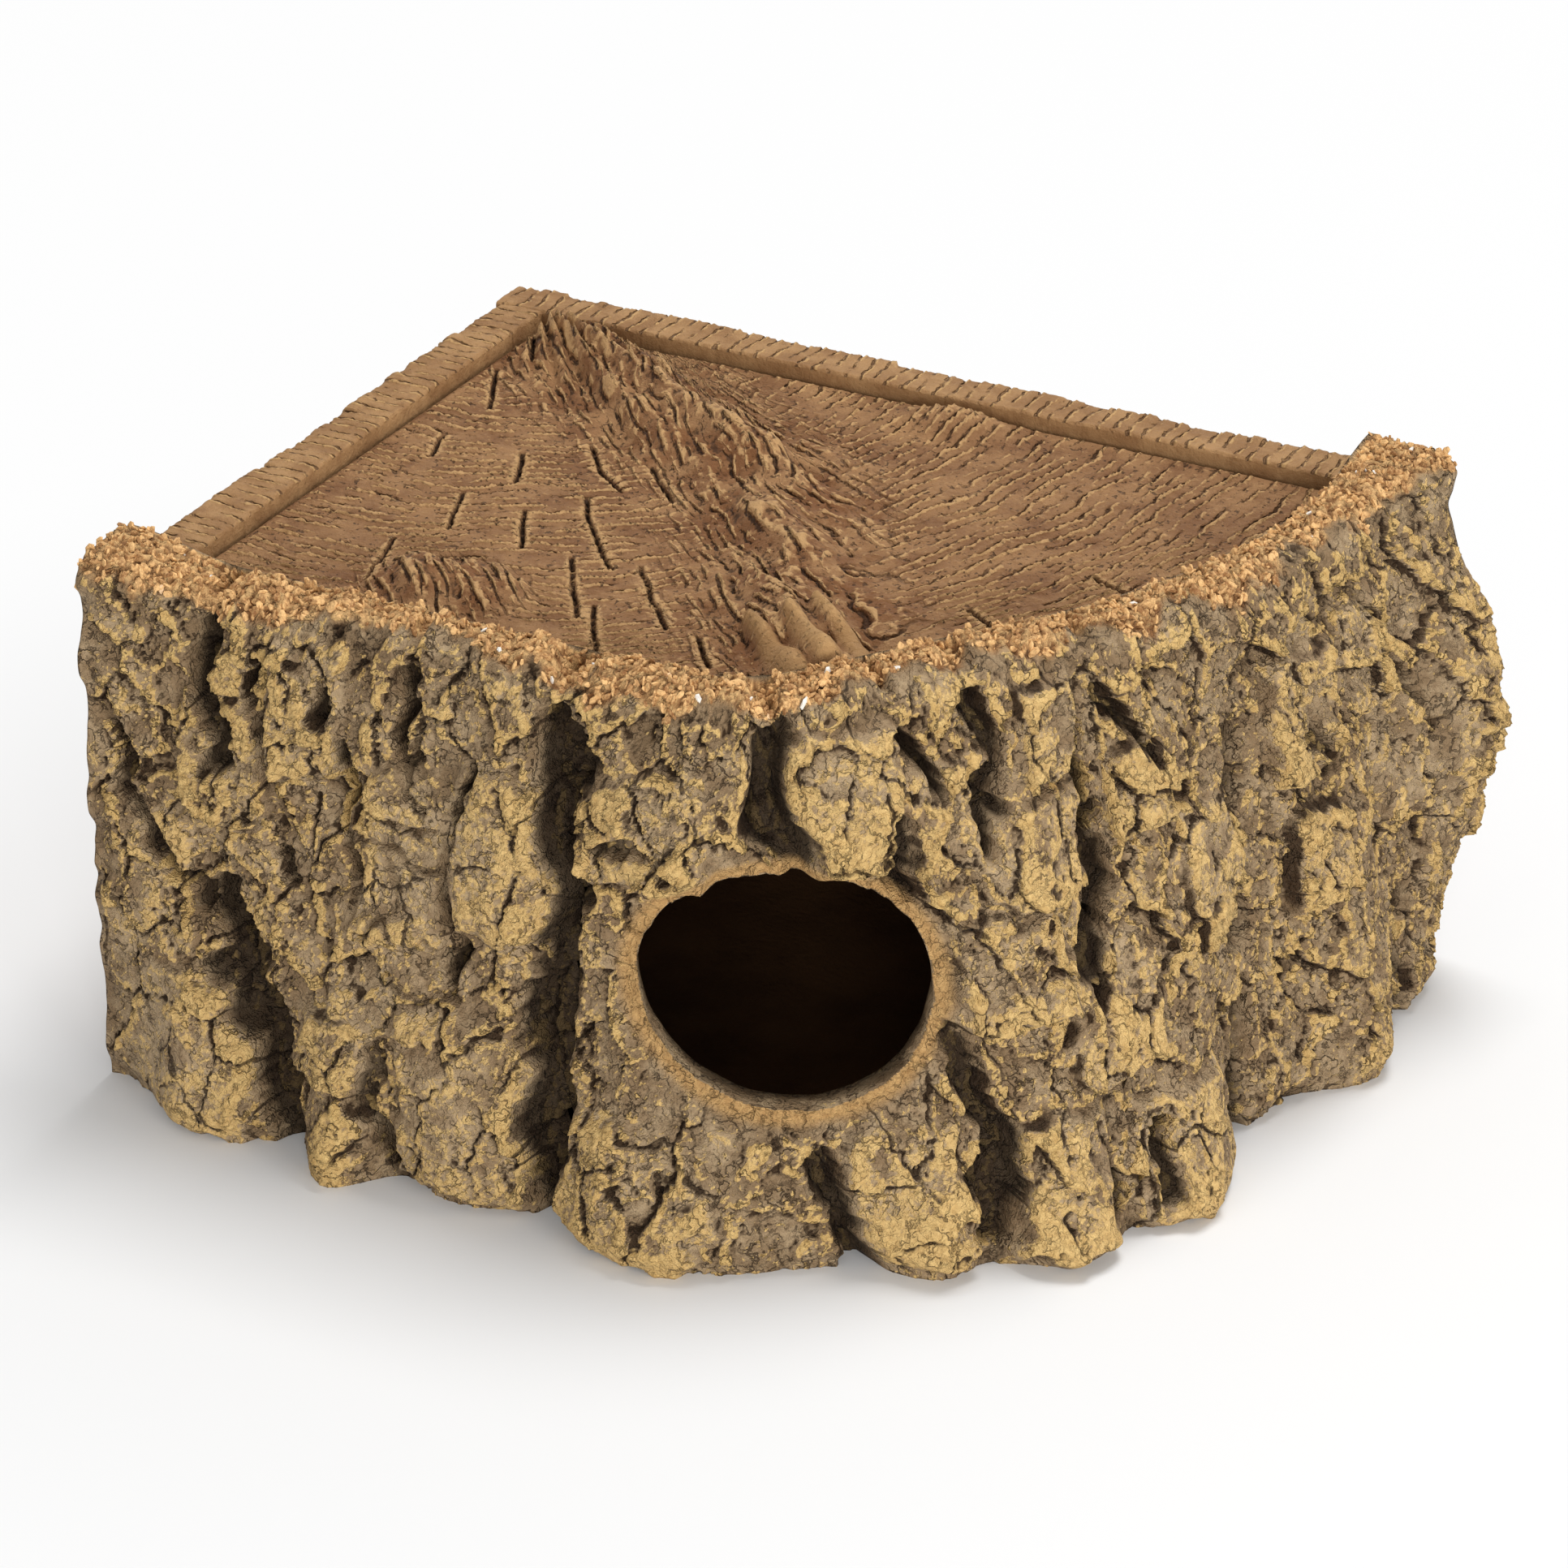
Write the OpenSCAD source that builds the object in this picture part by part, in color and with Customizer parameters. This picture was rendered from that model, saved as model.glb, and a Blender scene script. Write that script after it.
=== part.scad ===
// Corner hide for a reptile tank: a bark-faced tub with two plank-topped back walls,
// a closed floor and a lid that lifts off.
// Shapes are laid out from the back corner, where both walls meet at X = 0, Y = 0,
// and are then moved so that the middle of the footprint is at the origin.

/* [Den plan] */
// Back face of the long wall to the inside of the bark, along the short wall
den_depth = 161; // [152:1:172]
// Back face of the short wall to the inside of the bark, along the long wall
den_width = 208; // [198:1:220]
// Inside radius of the rounded front corner
corner_radius = 26; // [20:1:32]
// Angle that the bark turns through at the front corner
corner_turn = 54; // [50:1:58]
// Inside radius of the bowed flank
flank_radius = 150; // [135:1:160]
// Straight bark beside the end of the long wall
end_run = 20; // [15:1:26]

/* [Walls and floor] */
// Thickness of the two back walls
wall_t = 12; // [9:0.5:14]
// Height of the two back walls
wall_height = 115; // [108:1:125]
// Thickness of the floor
floor_t = 8; // [5:0.5:12]

/* [Lid and ledge] */
// Thickness of the lid under its relief
lid_t = 8; // [6:0.5:10]
// Depth of the lid's face below the tops of the walls
lid_drop = 3; // [2:0.5:6]
// Gap all round the lid
lid_gap = 0.8; // [0.5:0.1:1.5]
// Gap between the lid and the ledge under it
seat_gap = 0.3; // [0.2:0.1:0.5]
// Width of the ledge that carries the lid
ledge_w = 6; // [4:0.5:8]
// Height of the ledge
ledge_h = 7; // [5:0.5:9]
// Height of the root ridge that runs across the lid
ridge_height = 7.5; // [5:0.5:10]
// Relief of the strands that fan out along the ridge
strand_relief = 1.5; // [0.5:0.1:2]

/* [Bark] */
// Width of the bark at its rim
rim_width = 11; // [9:0.5:14]
// Extra width of the rim at both ends of the bark
rim_end = 9; // [5:0.5:12]
// Height of the rim above the back walls
rim_rise = 2; // [1:0.5:4]
// Extra height of the rim at both ends of the bark
end_rise = 4; // [0:0.5:6]
// Rounding of the rim's outer edge
rim_round = 6; // [4:0.5:8]
// Length over which both ends of the bark change
end_blend = 28; // [20:1:36]
// Flare of the bark at its foot
foot_flare = 18; // [14:0.5:22]
// Extra flare of the foot beside the entrance, on the flank
flank_swell = 24; // [16:1:28]
// Relief of the slabs that the bark has split into
slab_relief = 3.5; // [2:0.1:4]
// Least thickness of the bark at its foot
foot_t = 15; // [12:0.5:18]
// Extra hollow behind the bark round the entrance
doorway_hollow = 10; // [4:0.5:11]

/* [Entrance] */
// Width of the oval entrance
entrance_w = 59; // [50:1:64]
// Height of the oval entrance
entrance_h = 47; // [40:1:50]
// Height of the entrance's sill above the ground
entrance_sill = 33.5; // [28:0.5:38]
// Heading of the entrance from the front, towards the flank
entrance_heading = 30; // [25:1:35]
// Lean of the oval towards the flank
entrance_lean = 8; // [0:1:12]

/* [Hidden] */

// Inside line of the bark: front run, corner arc, flank run, flank arc, end run
flank_run = (den_depth - corner_radius * (1 - cos(corner_turn)) - flank_radius * cos(corner_turn)
  - end_run) / sin(corner_turn);
front_run = den_width - corner_radius * sin(corner_turn) - flank_run * cos(corner_turn)
  - flank_radius * (1 - sin(corner_turn));
corner_end = front_run + corner_radius * corner_turn * PI / 180;
flank_start = corner_end + flank_run;
flank_end = flank_start + flank_radius * (90 - corner_turn) * PI / 180;
bark_length = flank_end + end_run;

// Heights of the lid, its ledge and the rim
lid_top = wall_height - lid_drop;
lid_bottom = lid_top - lid_t;
ledge_top = lid_bottom - seat_gap;
ledge_bottom = ledge_top - ledge_h;

// The bark's features are placed by their distance along the bark from the entrance
entrance_at = front_run + 0.75 * (corner_end - front_run);
entrance_depth = 18;
doorway_half = 42;

// The foot swells from the start of the front corner to the middle of the bowed flank
swell_end = (flank_start + flank_end) / 2;
swell_middle = (front_run + swell_end) / 2;
swell_half = (swell_end - front_run) / 2;

// Share of the slabs' relief that lies below the bark's mean face
slab_sink = 0.2;

// Spacing of the bark's columns and rows, and of the lid's rays and rings
columns = 100;
outer_rows = 30;
inner_rows = 8;
rim_rows = 5;
lid_rays = 84;
lid_rings = 30;

// Roots at the foot: distance from the entrance, half width, reach, climb
ROOTS = [
  [-118, 16, 4, 40], [-82, 13, 11, 45], [-54, 14, 4, 40], [-14, 18, 7, 60], [14, 13, 7, 45],
  [44, 16, 5, 45], [72, 15, 8, 50], [122, 16, 8, 70], [166, 16, 9, 70]
];

// Raised plates: distance from the entrance, height, half width, half height, relief
PLATES = [
  [-60, 28, 22, 26, 4], [-50, 80, 14, 30, 3], [-16, 92, 16, 16, 4], [14, 92, 13, 20, 5],
  [46, 78, 13, 30, 4], [78, 60, 18, 30, 4], [108, 78, 9, 28, 4], [168, 60, 26, 52, 13]
];

// Slabs: distance from the entrance, height, half width, half height, share of the slabs' relief
SLABS = [
  [-132, 53, 12, 17, 0.7], [-123, 18, 20, 20, 0.9], [-115, 82, 10, 16, 0.9], [-96, 95, 9, 15, 0.9],
  [-84, 27, 10, 8, 0.9], [-75, 46, 13, 14, 0.6], [-71, 70, 11, 20, 0.8], [-54, 21, 17, 21, 0.7],
  [-48, 76, 13, 18, 1], [-20, 88, 13, 12, 0.9], [-20, 15, 12, 15, 0.8], [10, 95, 11, 16, 1.1],
  [13, 17, 10, 14, 0.9], [28, 89, 8, 12, 1], [38, 58, 12, 11, 1], [42, 16, 12, 14, 1],
  [46, 79, 12, 11, 0.9], [53, 102, 7, 10, 1], [58, 46, 11, 16, 0.9], [71, 86, 7, 9, 1.2],
  [71, 13, 13, 13, 0.8], [86, 64, 9, 15, 0.9], [114, 85, 11, 15, 1.2], [114, 55, 9, 11, 1.2],
  [136, 88, 9, 14, 0.8], [150, 62, 12, 14, 0.6], [160, 36, 12, 14, 0.6]
];

// Furrows: half width, depth, then the points that each one runs through
FURROWS = [
  [6, 6, [[-121, 106], [-120, 94], [-116, 82]]],
  [5.5, 5, [[-143, 86], [-136, 73], [-124, 54]]],
  [7.5, 9, [[-113, 50], [-109, 38], [-102, 24], [-95, 8], [-94, 0]]],
  [5, 5, [[-105, 92], [-98, 62]]],
  [5.5, 6, [[-77, 28], [-72, 6]]],
  [4.5, 3.5, [[-57, 92], [-59, 48]]],
  [8.5, 10, [[-38, 104], [-36, 84], [-33, 64], [-37, 44], [-36, 24], [-33, 0]]],
  [7, 9, [[-1, 106], [-1, 92], [2, 78]]],
  [6.5, 8, [[2, 22], [3, 10], [4, 0]]],
  [6, 6, [[20, 104], [28, 94], [18, 82]]],
  [6, 5, [[38, 106], [38, 84]]],
  [7, 9, [[28, 40], [30, 24], [29, 8]]],
  [6.5, 7, [[61, 100], [59, 84], [61, 66], [57, 50]]],
  [6, 6, [[64, 18], [60, 0]]],
  [8, 6, [[98, 84], [94, 60], [88, 40], [92, 0]]],
  [5.5, 4, [[118, 98], [128, 76], [148, 58]]],
  [5, 4, [[150, 104], [162, 84]]],
  [5.5, 4, [[112, 62], [122, 38]]],
  [7, 6, [[144, 30], [144, 0]]]
];

// Ridges on the lid: half width, share of the ridge height, then points from the lid's back corner
RIDGES = [
  [15, 1, [[10, 10], [28, 18], [50, 33], [78, 46]]],
  [14, 0.6, [[78, 46], [96, 68], [116, 100], [134, 126]]]
];

// Knots on the lid: place from the lid's back corner, half length, half width, share of the ridge height
KNOTS = [[78, 44, 9, 9, 0.9], [50, 128, 20, 15, 0.85], [106, 6, 20, 11, 0.6], [136, 128, 17, 13, 0.75]];

function total(v) = v * [for (x = v) 1];
function clamp01(x) = min(1, max(0, x));
function smooth(x) = let (t = clamp01(x)) t * t * (3 - 2 * t);
function bump(x) = abs(x) < 1 ? pow(1 - x * x, 2) : 0;

// Distance from a point to a run of straight pieces
function piece_gap(p, a, b) = let (d = b - a, t = clamp01((p - a) * d / (d * d))) norm(p - a - t * d);
function run_gap(p, run) = min([for (i = [1:len(run) - 1]) piece_gap(p, run[i - 1], run[i])]);

// Place and outward direction on the bark's inside line, by distance from the short wall's end
function arc_step(r, a, b) = r * [sin(b) - sin(a), cos(a) - cos(b)];
function heading(s) =
  s < front_run ? 0 :
  s < corner_end ? (s - front_run) / corner_radius * 180 / PI :
  s < flank_start ? corner_turn :
  s < flank_end ? corner_turn + (s - flank_start) / flank_radius * 180 / PI : 90;
function outward(s) = [sin(heading(s)), -cos(heading(s))];
corner_from = [front_run, -den_depth];
flank_from = corner_from + arc_step(corner_radius, 0, corner_turn);
bow_from = flank_from + flank_run * [cos(corner_turn), sin(corner_turn)];
function inside_line(s) =
  s < front_run ? [s, -den_depth] :
  s < corner_end ? corner_from + arc_step(corner_radius, 0, heading(s)) :
  s < flank_start ? flank_from + (s - corner_end) * [cos(corner_turn), sin(corner_turn)] :
  s < flank_end ? bow_from + arc_step(flank_radius, corner_turn, heading(s)) :
  [den_width, s - bark_length];

// Shape of the bark: rim, flare, hollow and relief
function ends(s) = smooth(s / end_blend) * smooth((bark_length - s) / end_blend);
function rim_top(s) = wall_height + rim_rise + end_rise * (1 - ends(s));
function flare(s) = foot_flare * ends(s) + flank_swell * bump((s - swell_middle) / swell_half);
function clear_of_walls(s) =
  smooth((s - wall_t) / end_blend) * smooth((bark_length - wall_t - s) / end_blend);
function foot_hollow(s) = max(0, rim_width + flare(s) - foot_t) * clear_of_walls(s);
function roots(d, z) = total([for (r = ROOTS) r[2] * bump((d - r[0]) / r[1]) * max(0, 1 - z / r[3])]);
function plates(d, z) = total([for (p = PLATES) p[4] * bump((d - p[0]) / p[2]) * bump((z - p[1]) / p[3])]);
function slab(x) = 1 - smooth(2 * abs(x) - 1);
function slabs(d, z) = total([for (p = SLABS) p[4] * slab((d - p[0]) / p[2]) * slab((z - p[1]) / p[3])]);
function furrows(d, z) = max([for (f = FURROWS) f[1] * bump(run_gap([d, z], f[2]) / f[0])]);
function rounding(s, z) =
  let (t = clamp01((z - rim_top(s)) / rim_round + 1)) rim_round * (1 - sqrt(1 - t * t));
function outside(s, z) =
  let (d = s - entrance_at)
  rim_width + rim_end * (1 - ends(s)) + flare(s) * (1 - z / rim_top(s))
  + ends(s) * (roots(d, z) - furrows(d, z) + slab_relief * (slabs(d, z) - slab_sink))
  + plates(d, z) - rounding(s, z);
function doorway(s, z) =
  let (middle = (floor_t + ledge_bottom) / 2)
  doorway_hollow * bump((s - entrance_at) / doorway_half) * bump((z - middle) / (middle - floor_t));
function inside(s, z) =
  foot_hollow(s) * clamp01((ledge_bottom - z) / (ledge_bottom - floor_t)) + doorway(s, z);

// Columns along the bark, with one at each edge of the back walls, and levels up and down it
function spread(from, to, n) = [for (i = [0:n]) from + (to - from) * i / n];
COLUMNS = concat([0], spread(wall_t, bark_length - wall_t, columns), [bark_length]);
function outer_levels(s) = concat(
  spread(0, rim_top(s) - rim_round, outer_rows),
  [for (i = [1:rim_rows]) rim_top(s) - rim_round * (1 - sin(90 * i / rim_rows))]
);
function inner_levels(s) = concat([rim_top(s)], spread(ledge_bottom, floor_t, inner_rows), [0]);
outer_count = outer_rows + 1 + rim_rows;
inner_count = inner_rows + 3;
ring_count = outer_count + inner_count;
function wall_point(s, off, z) = let (p = inside_line(s) + off * outward(s)) [p.x, p.y, z];
function ring(s) = concat(
  [for (z = outer_levels(s)) wall_point(s, outside(s, z), z)],
  [for (z = inner_levels(s)) wall_point(s, inside(s, z), z)]
);
BARK_POINTS = [for (s = COLUMNS) each ring(s)];

// Faces of a tube of rings, closed at both ends by triangles from the outer levels to the inner ones
function quad(a, b, c, d) = [[a, b, c], [a, c, d]];
function across(j) = ring_count - 1 - round(j * (inner_count - 1) / (outer_count - 1));
END_FACES = [for (j = [0:outer_count - 2]) each concat(
  [[j, j + 1, across(j + 1)]],
  across(j) == across(j + 1) ? [] : [[j, across(j + 1), across(j)]]
)];
function bark_faces(rings) = concat(
  [for (i = [0:rings - 2], j = [0:ring_count - 1])
    let (a = i * ring_count, k = (j + 1) % ring_count)
    each quad(a + j, a + k, a + ring_count + k, a + ring_count + j)],
  [for (f = END_FACES) [f[2], f[1], f[0]]],
  [for (f = END_FACES) f + (rings - 1) * ring_count * [1, 1, 1]]
);

// Middle of the footprint
middle_x = max([for (p = BARK_POINTS) p.x]) / 2;
middle_y = min([for (p = BARK_POINTS) p.y]) / 2;
module placed() translate([-middle_x, -middle_y, 0]) children();

// Plan of the space inside the walls, grown outwards along the bark by a hollow, or shrunk by an inset
function den_columns(inset) = spread(wall_t + inset, bark_length - wall_t - inset, columns);
function inset_plan(inset) = concat(
  [[wall_t + inset, -wall_t - inset]],
  [for (s = den_columns(inset)) inside_line(s) - inset * outward(s)]
);
FLOOR_PLAN = concat(
  [[wall_t, -wall_t]],
  [for (s = den_columns(0)) inside_line(s) + foot_hollow(s) * outward(s)]
);

// Relief of the lid, fading out beside the back walls
lid_corner = [wall_t + lid_gap, -wall_t - lid_gap];
wall_fade = 8;

// Strands fan out from the lid's back corner over the ridge and the front knot
strand_angle = 9;
strand_twist = 140;
strand_half = 24;
front_knot = KNOTS[1];
function ridges(p) = max([for (r = RIDGES) r[1] * bump(run_gap(p, r[2]) / r[0])]);
function knots(p) = max([for (k = KNOTS) k[4] * bump(norm([(p.x - k[0]) / k[2], (p.y - k[1]) / k[3]]))]);
function fan(p) = max(
  max([for (r = RIDGES) bump(run_gap(p, r[2]) / strand_half)]),
  bump(norm([(p.x - front_knot[0]) / front_knot[2], (p.y - front_knot[1]) / front_knot[3]]))
);
function strands(p) = fan(p) * cos(360 * (atan2(p.y, p.x) / strand_angle + norm(p) / strand_twist));
function relief(p) =
  (ridge_height * max(ridges(p), knots(p)) + strand_relief * strands(p))
  * smooth(p.x / wall_fade) * smooth(p.y / wall_fade);
LID_EDGE = [
  for (s = spread(wall_t + lid_gap, bark_length - wall_t - lid_gap, lid_rays))
    inside_line(s) - lid_gap * outward(s)
];
function lid_point(p) = [p.x, p.y, lid_top + relief([p.x - lid_corner.x, lid_corner.y - p.y])];
LID_POINTS = concat(
  [lid_point(lid_corner)],
  [for (r = [1:lid_rings], e = LID_EDGE) lid_point(lid_corner + (e - lid_corner) * r / lid_rings)],
  [for (e = LID_EDGE) [e.x, e.y, lid_bottom]],
  [[lid_corner.x, lid_corner.y, lid_bottom]]
);
edge_count = lid_rays + 1;
function lid_at(r, k) = r == 0 ? 0 : 1 + (r - 1) * edge_count + k;
lid_foot = 1 + lid_rings * edge_count;
lid_heel = lid_foot + edge_count;
LID_FACES = concat(
  [for (k = [0:lid_rays - 1]) [0, lid_at(1, k + 1), lid_at(1, k)]],
  [for (r = [1:lid_rings - 1], k = [0:lid_rays - 1])
    each quad(lid_at(r, k), lid_at(r, k + 1), lid_at(r + 1, k + 1), lid_at(r + 1, k))],
  [for (k = [0:lid_rays - 1])
    each quad(lid_at(lid_rings, k), lid_at(lid_rings, k + 1), lid_foot + k + 1, lid_foot + k)],
  [for (k = [0:lid_rays - 1]) [lid_heel, lid_foot + k, lid_foot + k + 1]],
  [for (r = [0:lid_rings - 1]) [lid_heel, lid_at(r, 0), lid_at(r + 1, 0)]],
  [[lid_heel, lid_at(lid_rings, 0), lid_foot]],
  [for (r = [0:lid_rings - 1]) [lid_heel, lid_at(r + 1, lid_rays), lid_at(r, lid_rays)]],
  [[lid_heel, lid_foot + lid_rays, lid_at(lid_rings, lid_rays)]]
);

// Oval tunnel through the bark
module entrance_tunnel() {
  mouth = inside_line(entrance_at) + entrance_depth * outward(entrance_at);
  translate([mouth.x, mouth.y, entrance_sill + entrance_h / 2])
    rotate([90, -entrance_lean, entrance_heading])
      scale([entrance_w / 2, entrance_h / 2, 1])
        cylinder(r = 1, h = 2 * entrance_w, center = true, $fn = 64);
}

// Front of the tub: furrowed bark with roots at its foot
module bark_wall() {
  color("#8a7448")
    placed()
      difference() {
        polyhedron(points = BARK_POINTS, faces = bark_faces(len(COLUMNS)), convexity = 10);
        entrance_tunnel();
      }
}

// Back wall along X
module long_back_wall() {
  color("#a8824f")
    placed()
      translate([0, -wall_t, 0])
        cube([den_width, wall_t, wall_height]);
}

// Back wall along Y, ending against the long wall
module short_back_wall() {
  color("#a8824f")
    placed()
      translate([0, -den_depth, 0])
        cube([wall_t, den_depth - wall_t, wall_height]);
}

// Closed floor, which keeps damp moss inside
module floor_plate() {
  color("#7d5b38")
    placed()
      linear_extrude(height = floor_t)
        polygon(FLOOR_PLAN);
}

// Step round the inside that carries the lid
module lid_ledge() {
  color("#7d5b38")
    placed()
      translate([0, 0, ledge_bottom])
        linear_extrude(height = ledge_h)
          difference() {
            polygon(inset_plan(0));
            polygon(inset_plan(ledge_w));
          }
}

// Lift-off lid: a slab of stump with a root ridge and knots
module lid() {
  color("#8f653c")
    placed()
      polyhedron(points = LID_POINTS, faces = LID_FACES, convexity = 6);
}

bark_wall();
long_back_wall();
short_back_wall();
floor_plate();
lid_ledge();
lid();
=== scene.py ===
"""Corner hide for a reptile tank: bark, stump lid and back walls dressed around the CAD frame."""
import math

import bpy
import numpy as np
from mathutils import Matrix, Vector


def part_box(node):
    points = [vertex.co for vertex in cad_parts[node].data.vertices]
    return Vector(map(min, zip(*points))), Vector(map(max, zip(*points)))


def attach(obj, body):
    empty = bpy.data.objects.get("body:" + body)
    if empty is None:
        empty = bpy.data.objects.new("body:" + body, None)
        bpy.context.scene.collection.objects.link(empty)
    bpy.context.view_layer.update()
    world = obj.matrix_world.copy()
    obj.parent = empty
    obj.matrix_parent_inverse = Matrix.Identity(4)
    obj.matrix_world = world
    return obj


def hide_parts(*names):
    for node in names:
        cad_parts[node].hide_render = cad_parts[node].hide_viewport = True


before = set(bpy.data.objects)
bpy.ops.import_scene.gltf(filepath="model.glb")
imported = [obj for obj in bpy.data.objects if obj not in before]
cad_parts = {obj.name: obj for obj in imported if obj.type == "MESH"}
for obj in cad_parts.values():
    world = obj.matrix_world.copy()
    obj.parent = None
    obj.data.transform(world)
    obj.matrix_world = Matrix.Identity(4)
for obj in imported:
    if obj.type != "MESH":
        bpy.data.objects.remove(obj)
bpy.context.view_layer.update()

# Layout in millimetres, measured from the back corner where the two walls meet
MM = 0.001
long_low, long_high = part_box("long_back_wall")
short_low, short_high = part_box("short_back_wall")
BACK_CORNER = np.array([short_low.x, long_high.y, 0.0])
WALL_T = (long_high.y - long_low.y) / MM
WALL_HEIGHT = long_high.z / MM
DEN_WIDTH = (long_high.x - long_low.x) / MM
DEN_DEPTH = WALL_T + (short_high.y - short_low.y) / MM
LID_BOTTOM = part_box("lid")[0].z / MM
LID_DROP = 3.0
LID_GAP = 0.8
LID_TOP = WALL_HEIGHT - LID_DROP
BROWN_TOP = LID_TOP - 3.0
FLOOR_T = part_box("floor_plate")[1].z / MM
LEDGE_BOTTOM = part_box("lid_ledge")[0].z / MM

# Inside line of the bark: front run, corner arc, flank run, flank arc, end run
CORNER_RADIUS = 26.0
CORNER_TURN = math.radians(54)
FLANK_RADIUS = 150.0
END_RUN = 20.0
FLANK_RUN = (DEN_DEPTH - CORNER_RADIUS * (1 - math.cos(CORNER_TURN))
             - FLANK_RADIUS * math.cos(CORNER_TURN) - END_RUN) / math.sin(CORNER_TURN)
FRONT_RUN = (DEN_WIDTH - CORNER_RADIUS * math.sin(CORNER_TURN) - FLANK_RUN * math.cos(CORNER_TURN)
             - FLANK_RADIUS * (1 - math.sin(CORNER_TURN)))
CORNER_END = FRONT_RUN + CORNER_RADIUS * CORNER_TURN
FLANK_START = CORNER_END + FLANK_RUN
FLANK_END = FLANK_START + FLANK_RADIUS * (math.pi / 2 - CORNER_TURN)
BARK_LENGTH = FLANK_END + END_RUN

# Bark: rim, flare, and the oval entrance
RIM_WIDTH = 11.0
RIM_END = 9.0
RIM_RISE = 2.0
END_RISE = 4.0
RIM_ROUND = 6.0
END_BLEND = 28.0
WORN_ENDS = 8.0
BARE_ENDS = 4.0
FOOT_FLARE = 18.0
FLANK_SWELL = 24.0
FOOT_T = 15.0
FOOT_ROUND = 2.5
FOOT_RISE = 8.0
DOORWAY_HOLLOW = 10.0
DOORWAY_HALF = 42.0
ENTRANCE_AT = FRONT_RUN + 0.75 * (CORNER_END - FRONT_RUN)
ENTRANCE_W = 59.0
ENTRANCE_H = 47.0
ENTRANCE_SILL = 33.5
ENTRANCE_HEADING = math.radians(30)
ENTRANCE_LEAN = math.radians(8)
ENTRANCE_DEPTH = 18.0

# Roots at the foot: distance from the entrance, half width, reach, climb
ROOTS = [
    (-118, 16, 4, 40), (-82, 13, 11, 45), (-54, 14, 4, 40), (-14, 18, 7, 60), (14, 13, 7, 45),
    (44, 16, 5, 45), (72, 15, 8, 50), (122, 16, 8, 70), (166, 16, 9, 70),
]

# Raised plates: distance from the entrance, height, half width, half height, relief
PLATES = [
    (-60, 28, 22, 26, 4), (-50, 80, 14, 30, 3), (-16, 92, 16, 16, 4), (14, 92, 13, 20, 5),
    (46, 78, 13, 30, 4), (78, 60, 18, 30, 4), (108, 78, 9, 28, 4), (168, 60, 26, 52, 13),
]

# Slabs: distance from the entrance, height, half width, half height, share of the slabs' relief
SLAB_RELIEF = 3.5
SLAB_SINK = 0.2
SLABS = [
    (-132, 53, 12, 17, 0.7), (-123, 18, 20, 20, 0.9), (-115, 82, 10, 16, 0.9), (-96, 95, 9, 15, 0.9),
    (-84, 27, 10, 8, 0.9), (-75, 46, 13, 14, 0.6), (-71, 70, 11, 20, 0.8), (-54, 21, 17, 21, 0.7),
    (-48, 76, 13, 18, 1.0), (-20, 88, 13, 12, 0.9), (-20, 15, 12, 15, 0.8), (10, 95, 11, 16, 1.1),
    (13, 17, 10, 14, 0.9), (28, 89, 8, 12, 1.0), (38, 58, 12, 11, 1.0), (42, 16, 12, 14, 1.0),
    (46, 79, 12, 11, 0.9), (53, 102, 7, 10, 1.0), (58, 46, 11, 16, 0.9), (71, 86, 7, 9, 1.2),
    (71, 13, 13, 13, 0.8), (86, 64, 9, 15, 0.9), (114, 85, 11, 15, 1.2), (114, 55, 9, 11, 1.2),
    (136, 88, 9, 14, 0.8), (150, 62, 12, 14, 0.6), (160, 36, 12, 14, 0.6),
]

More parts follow.
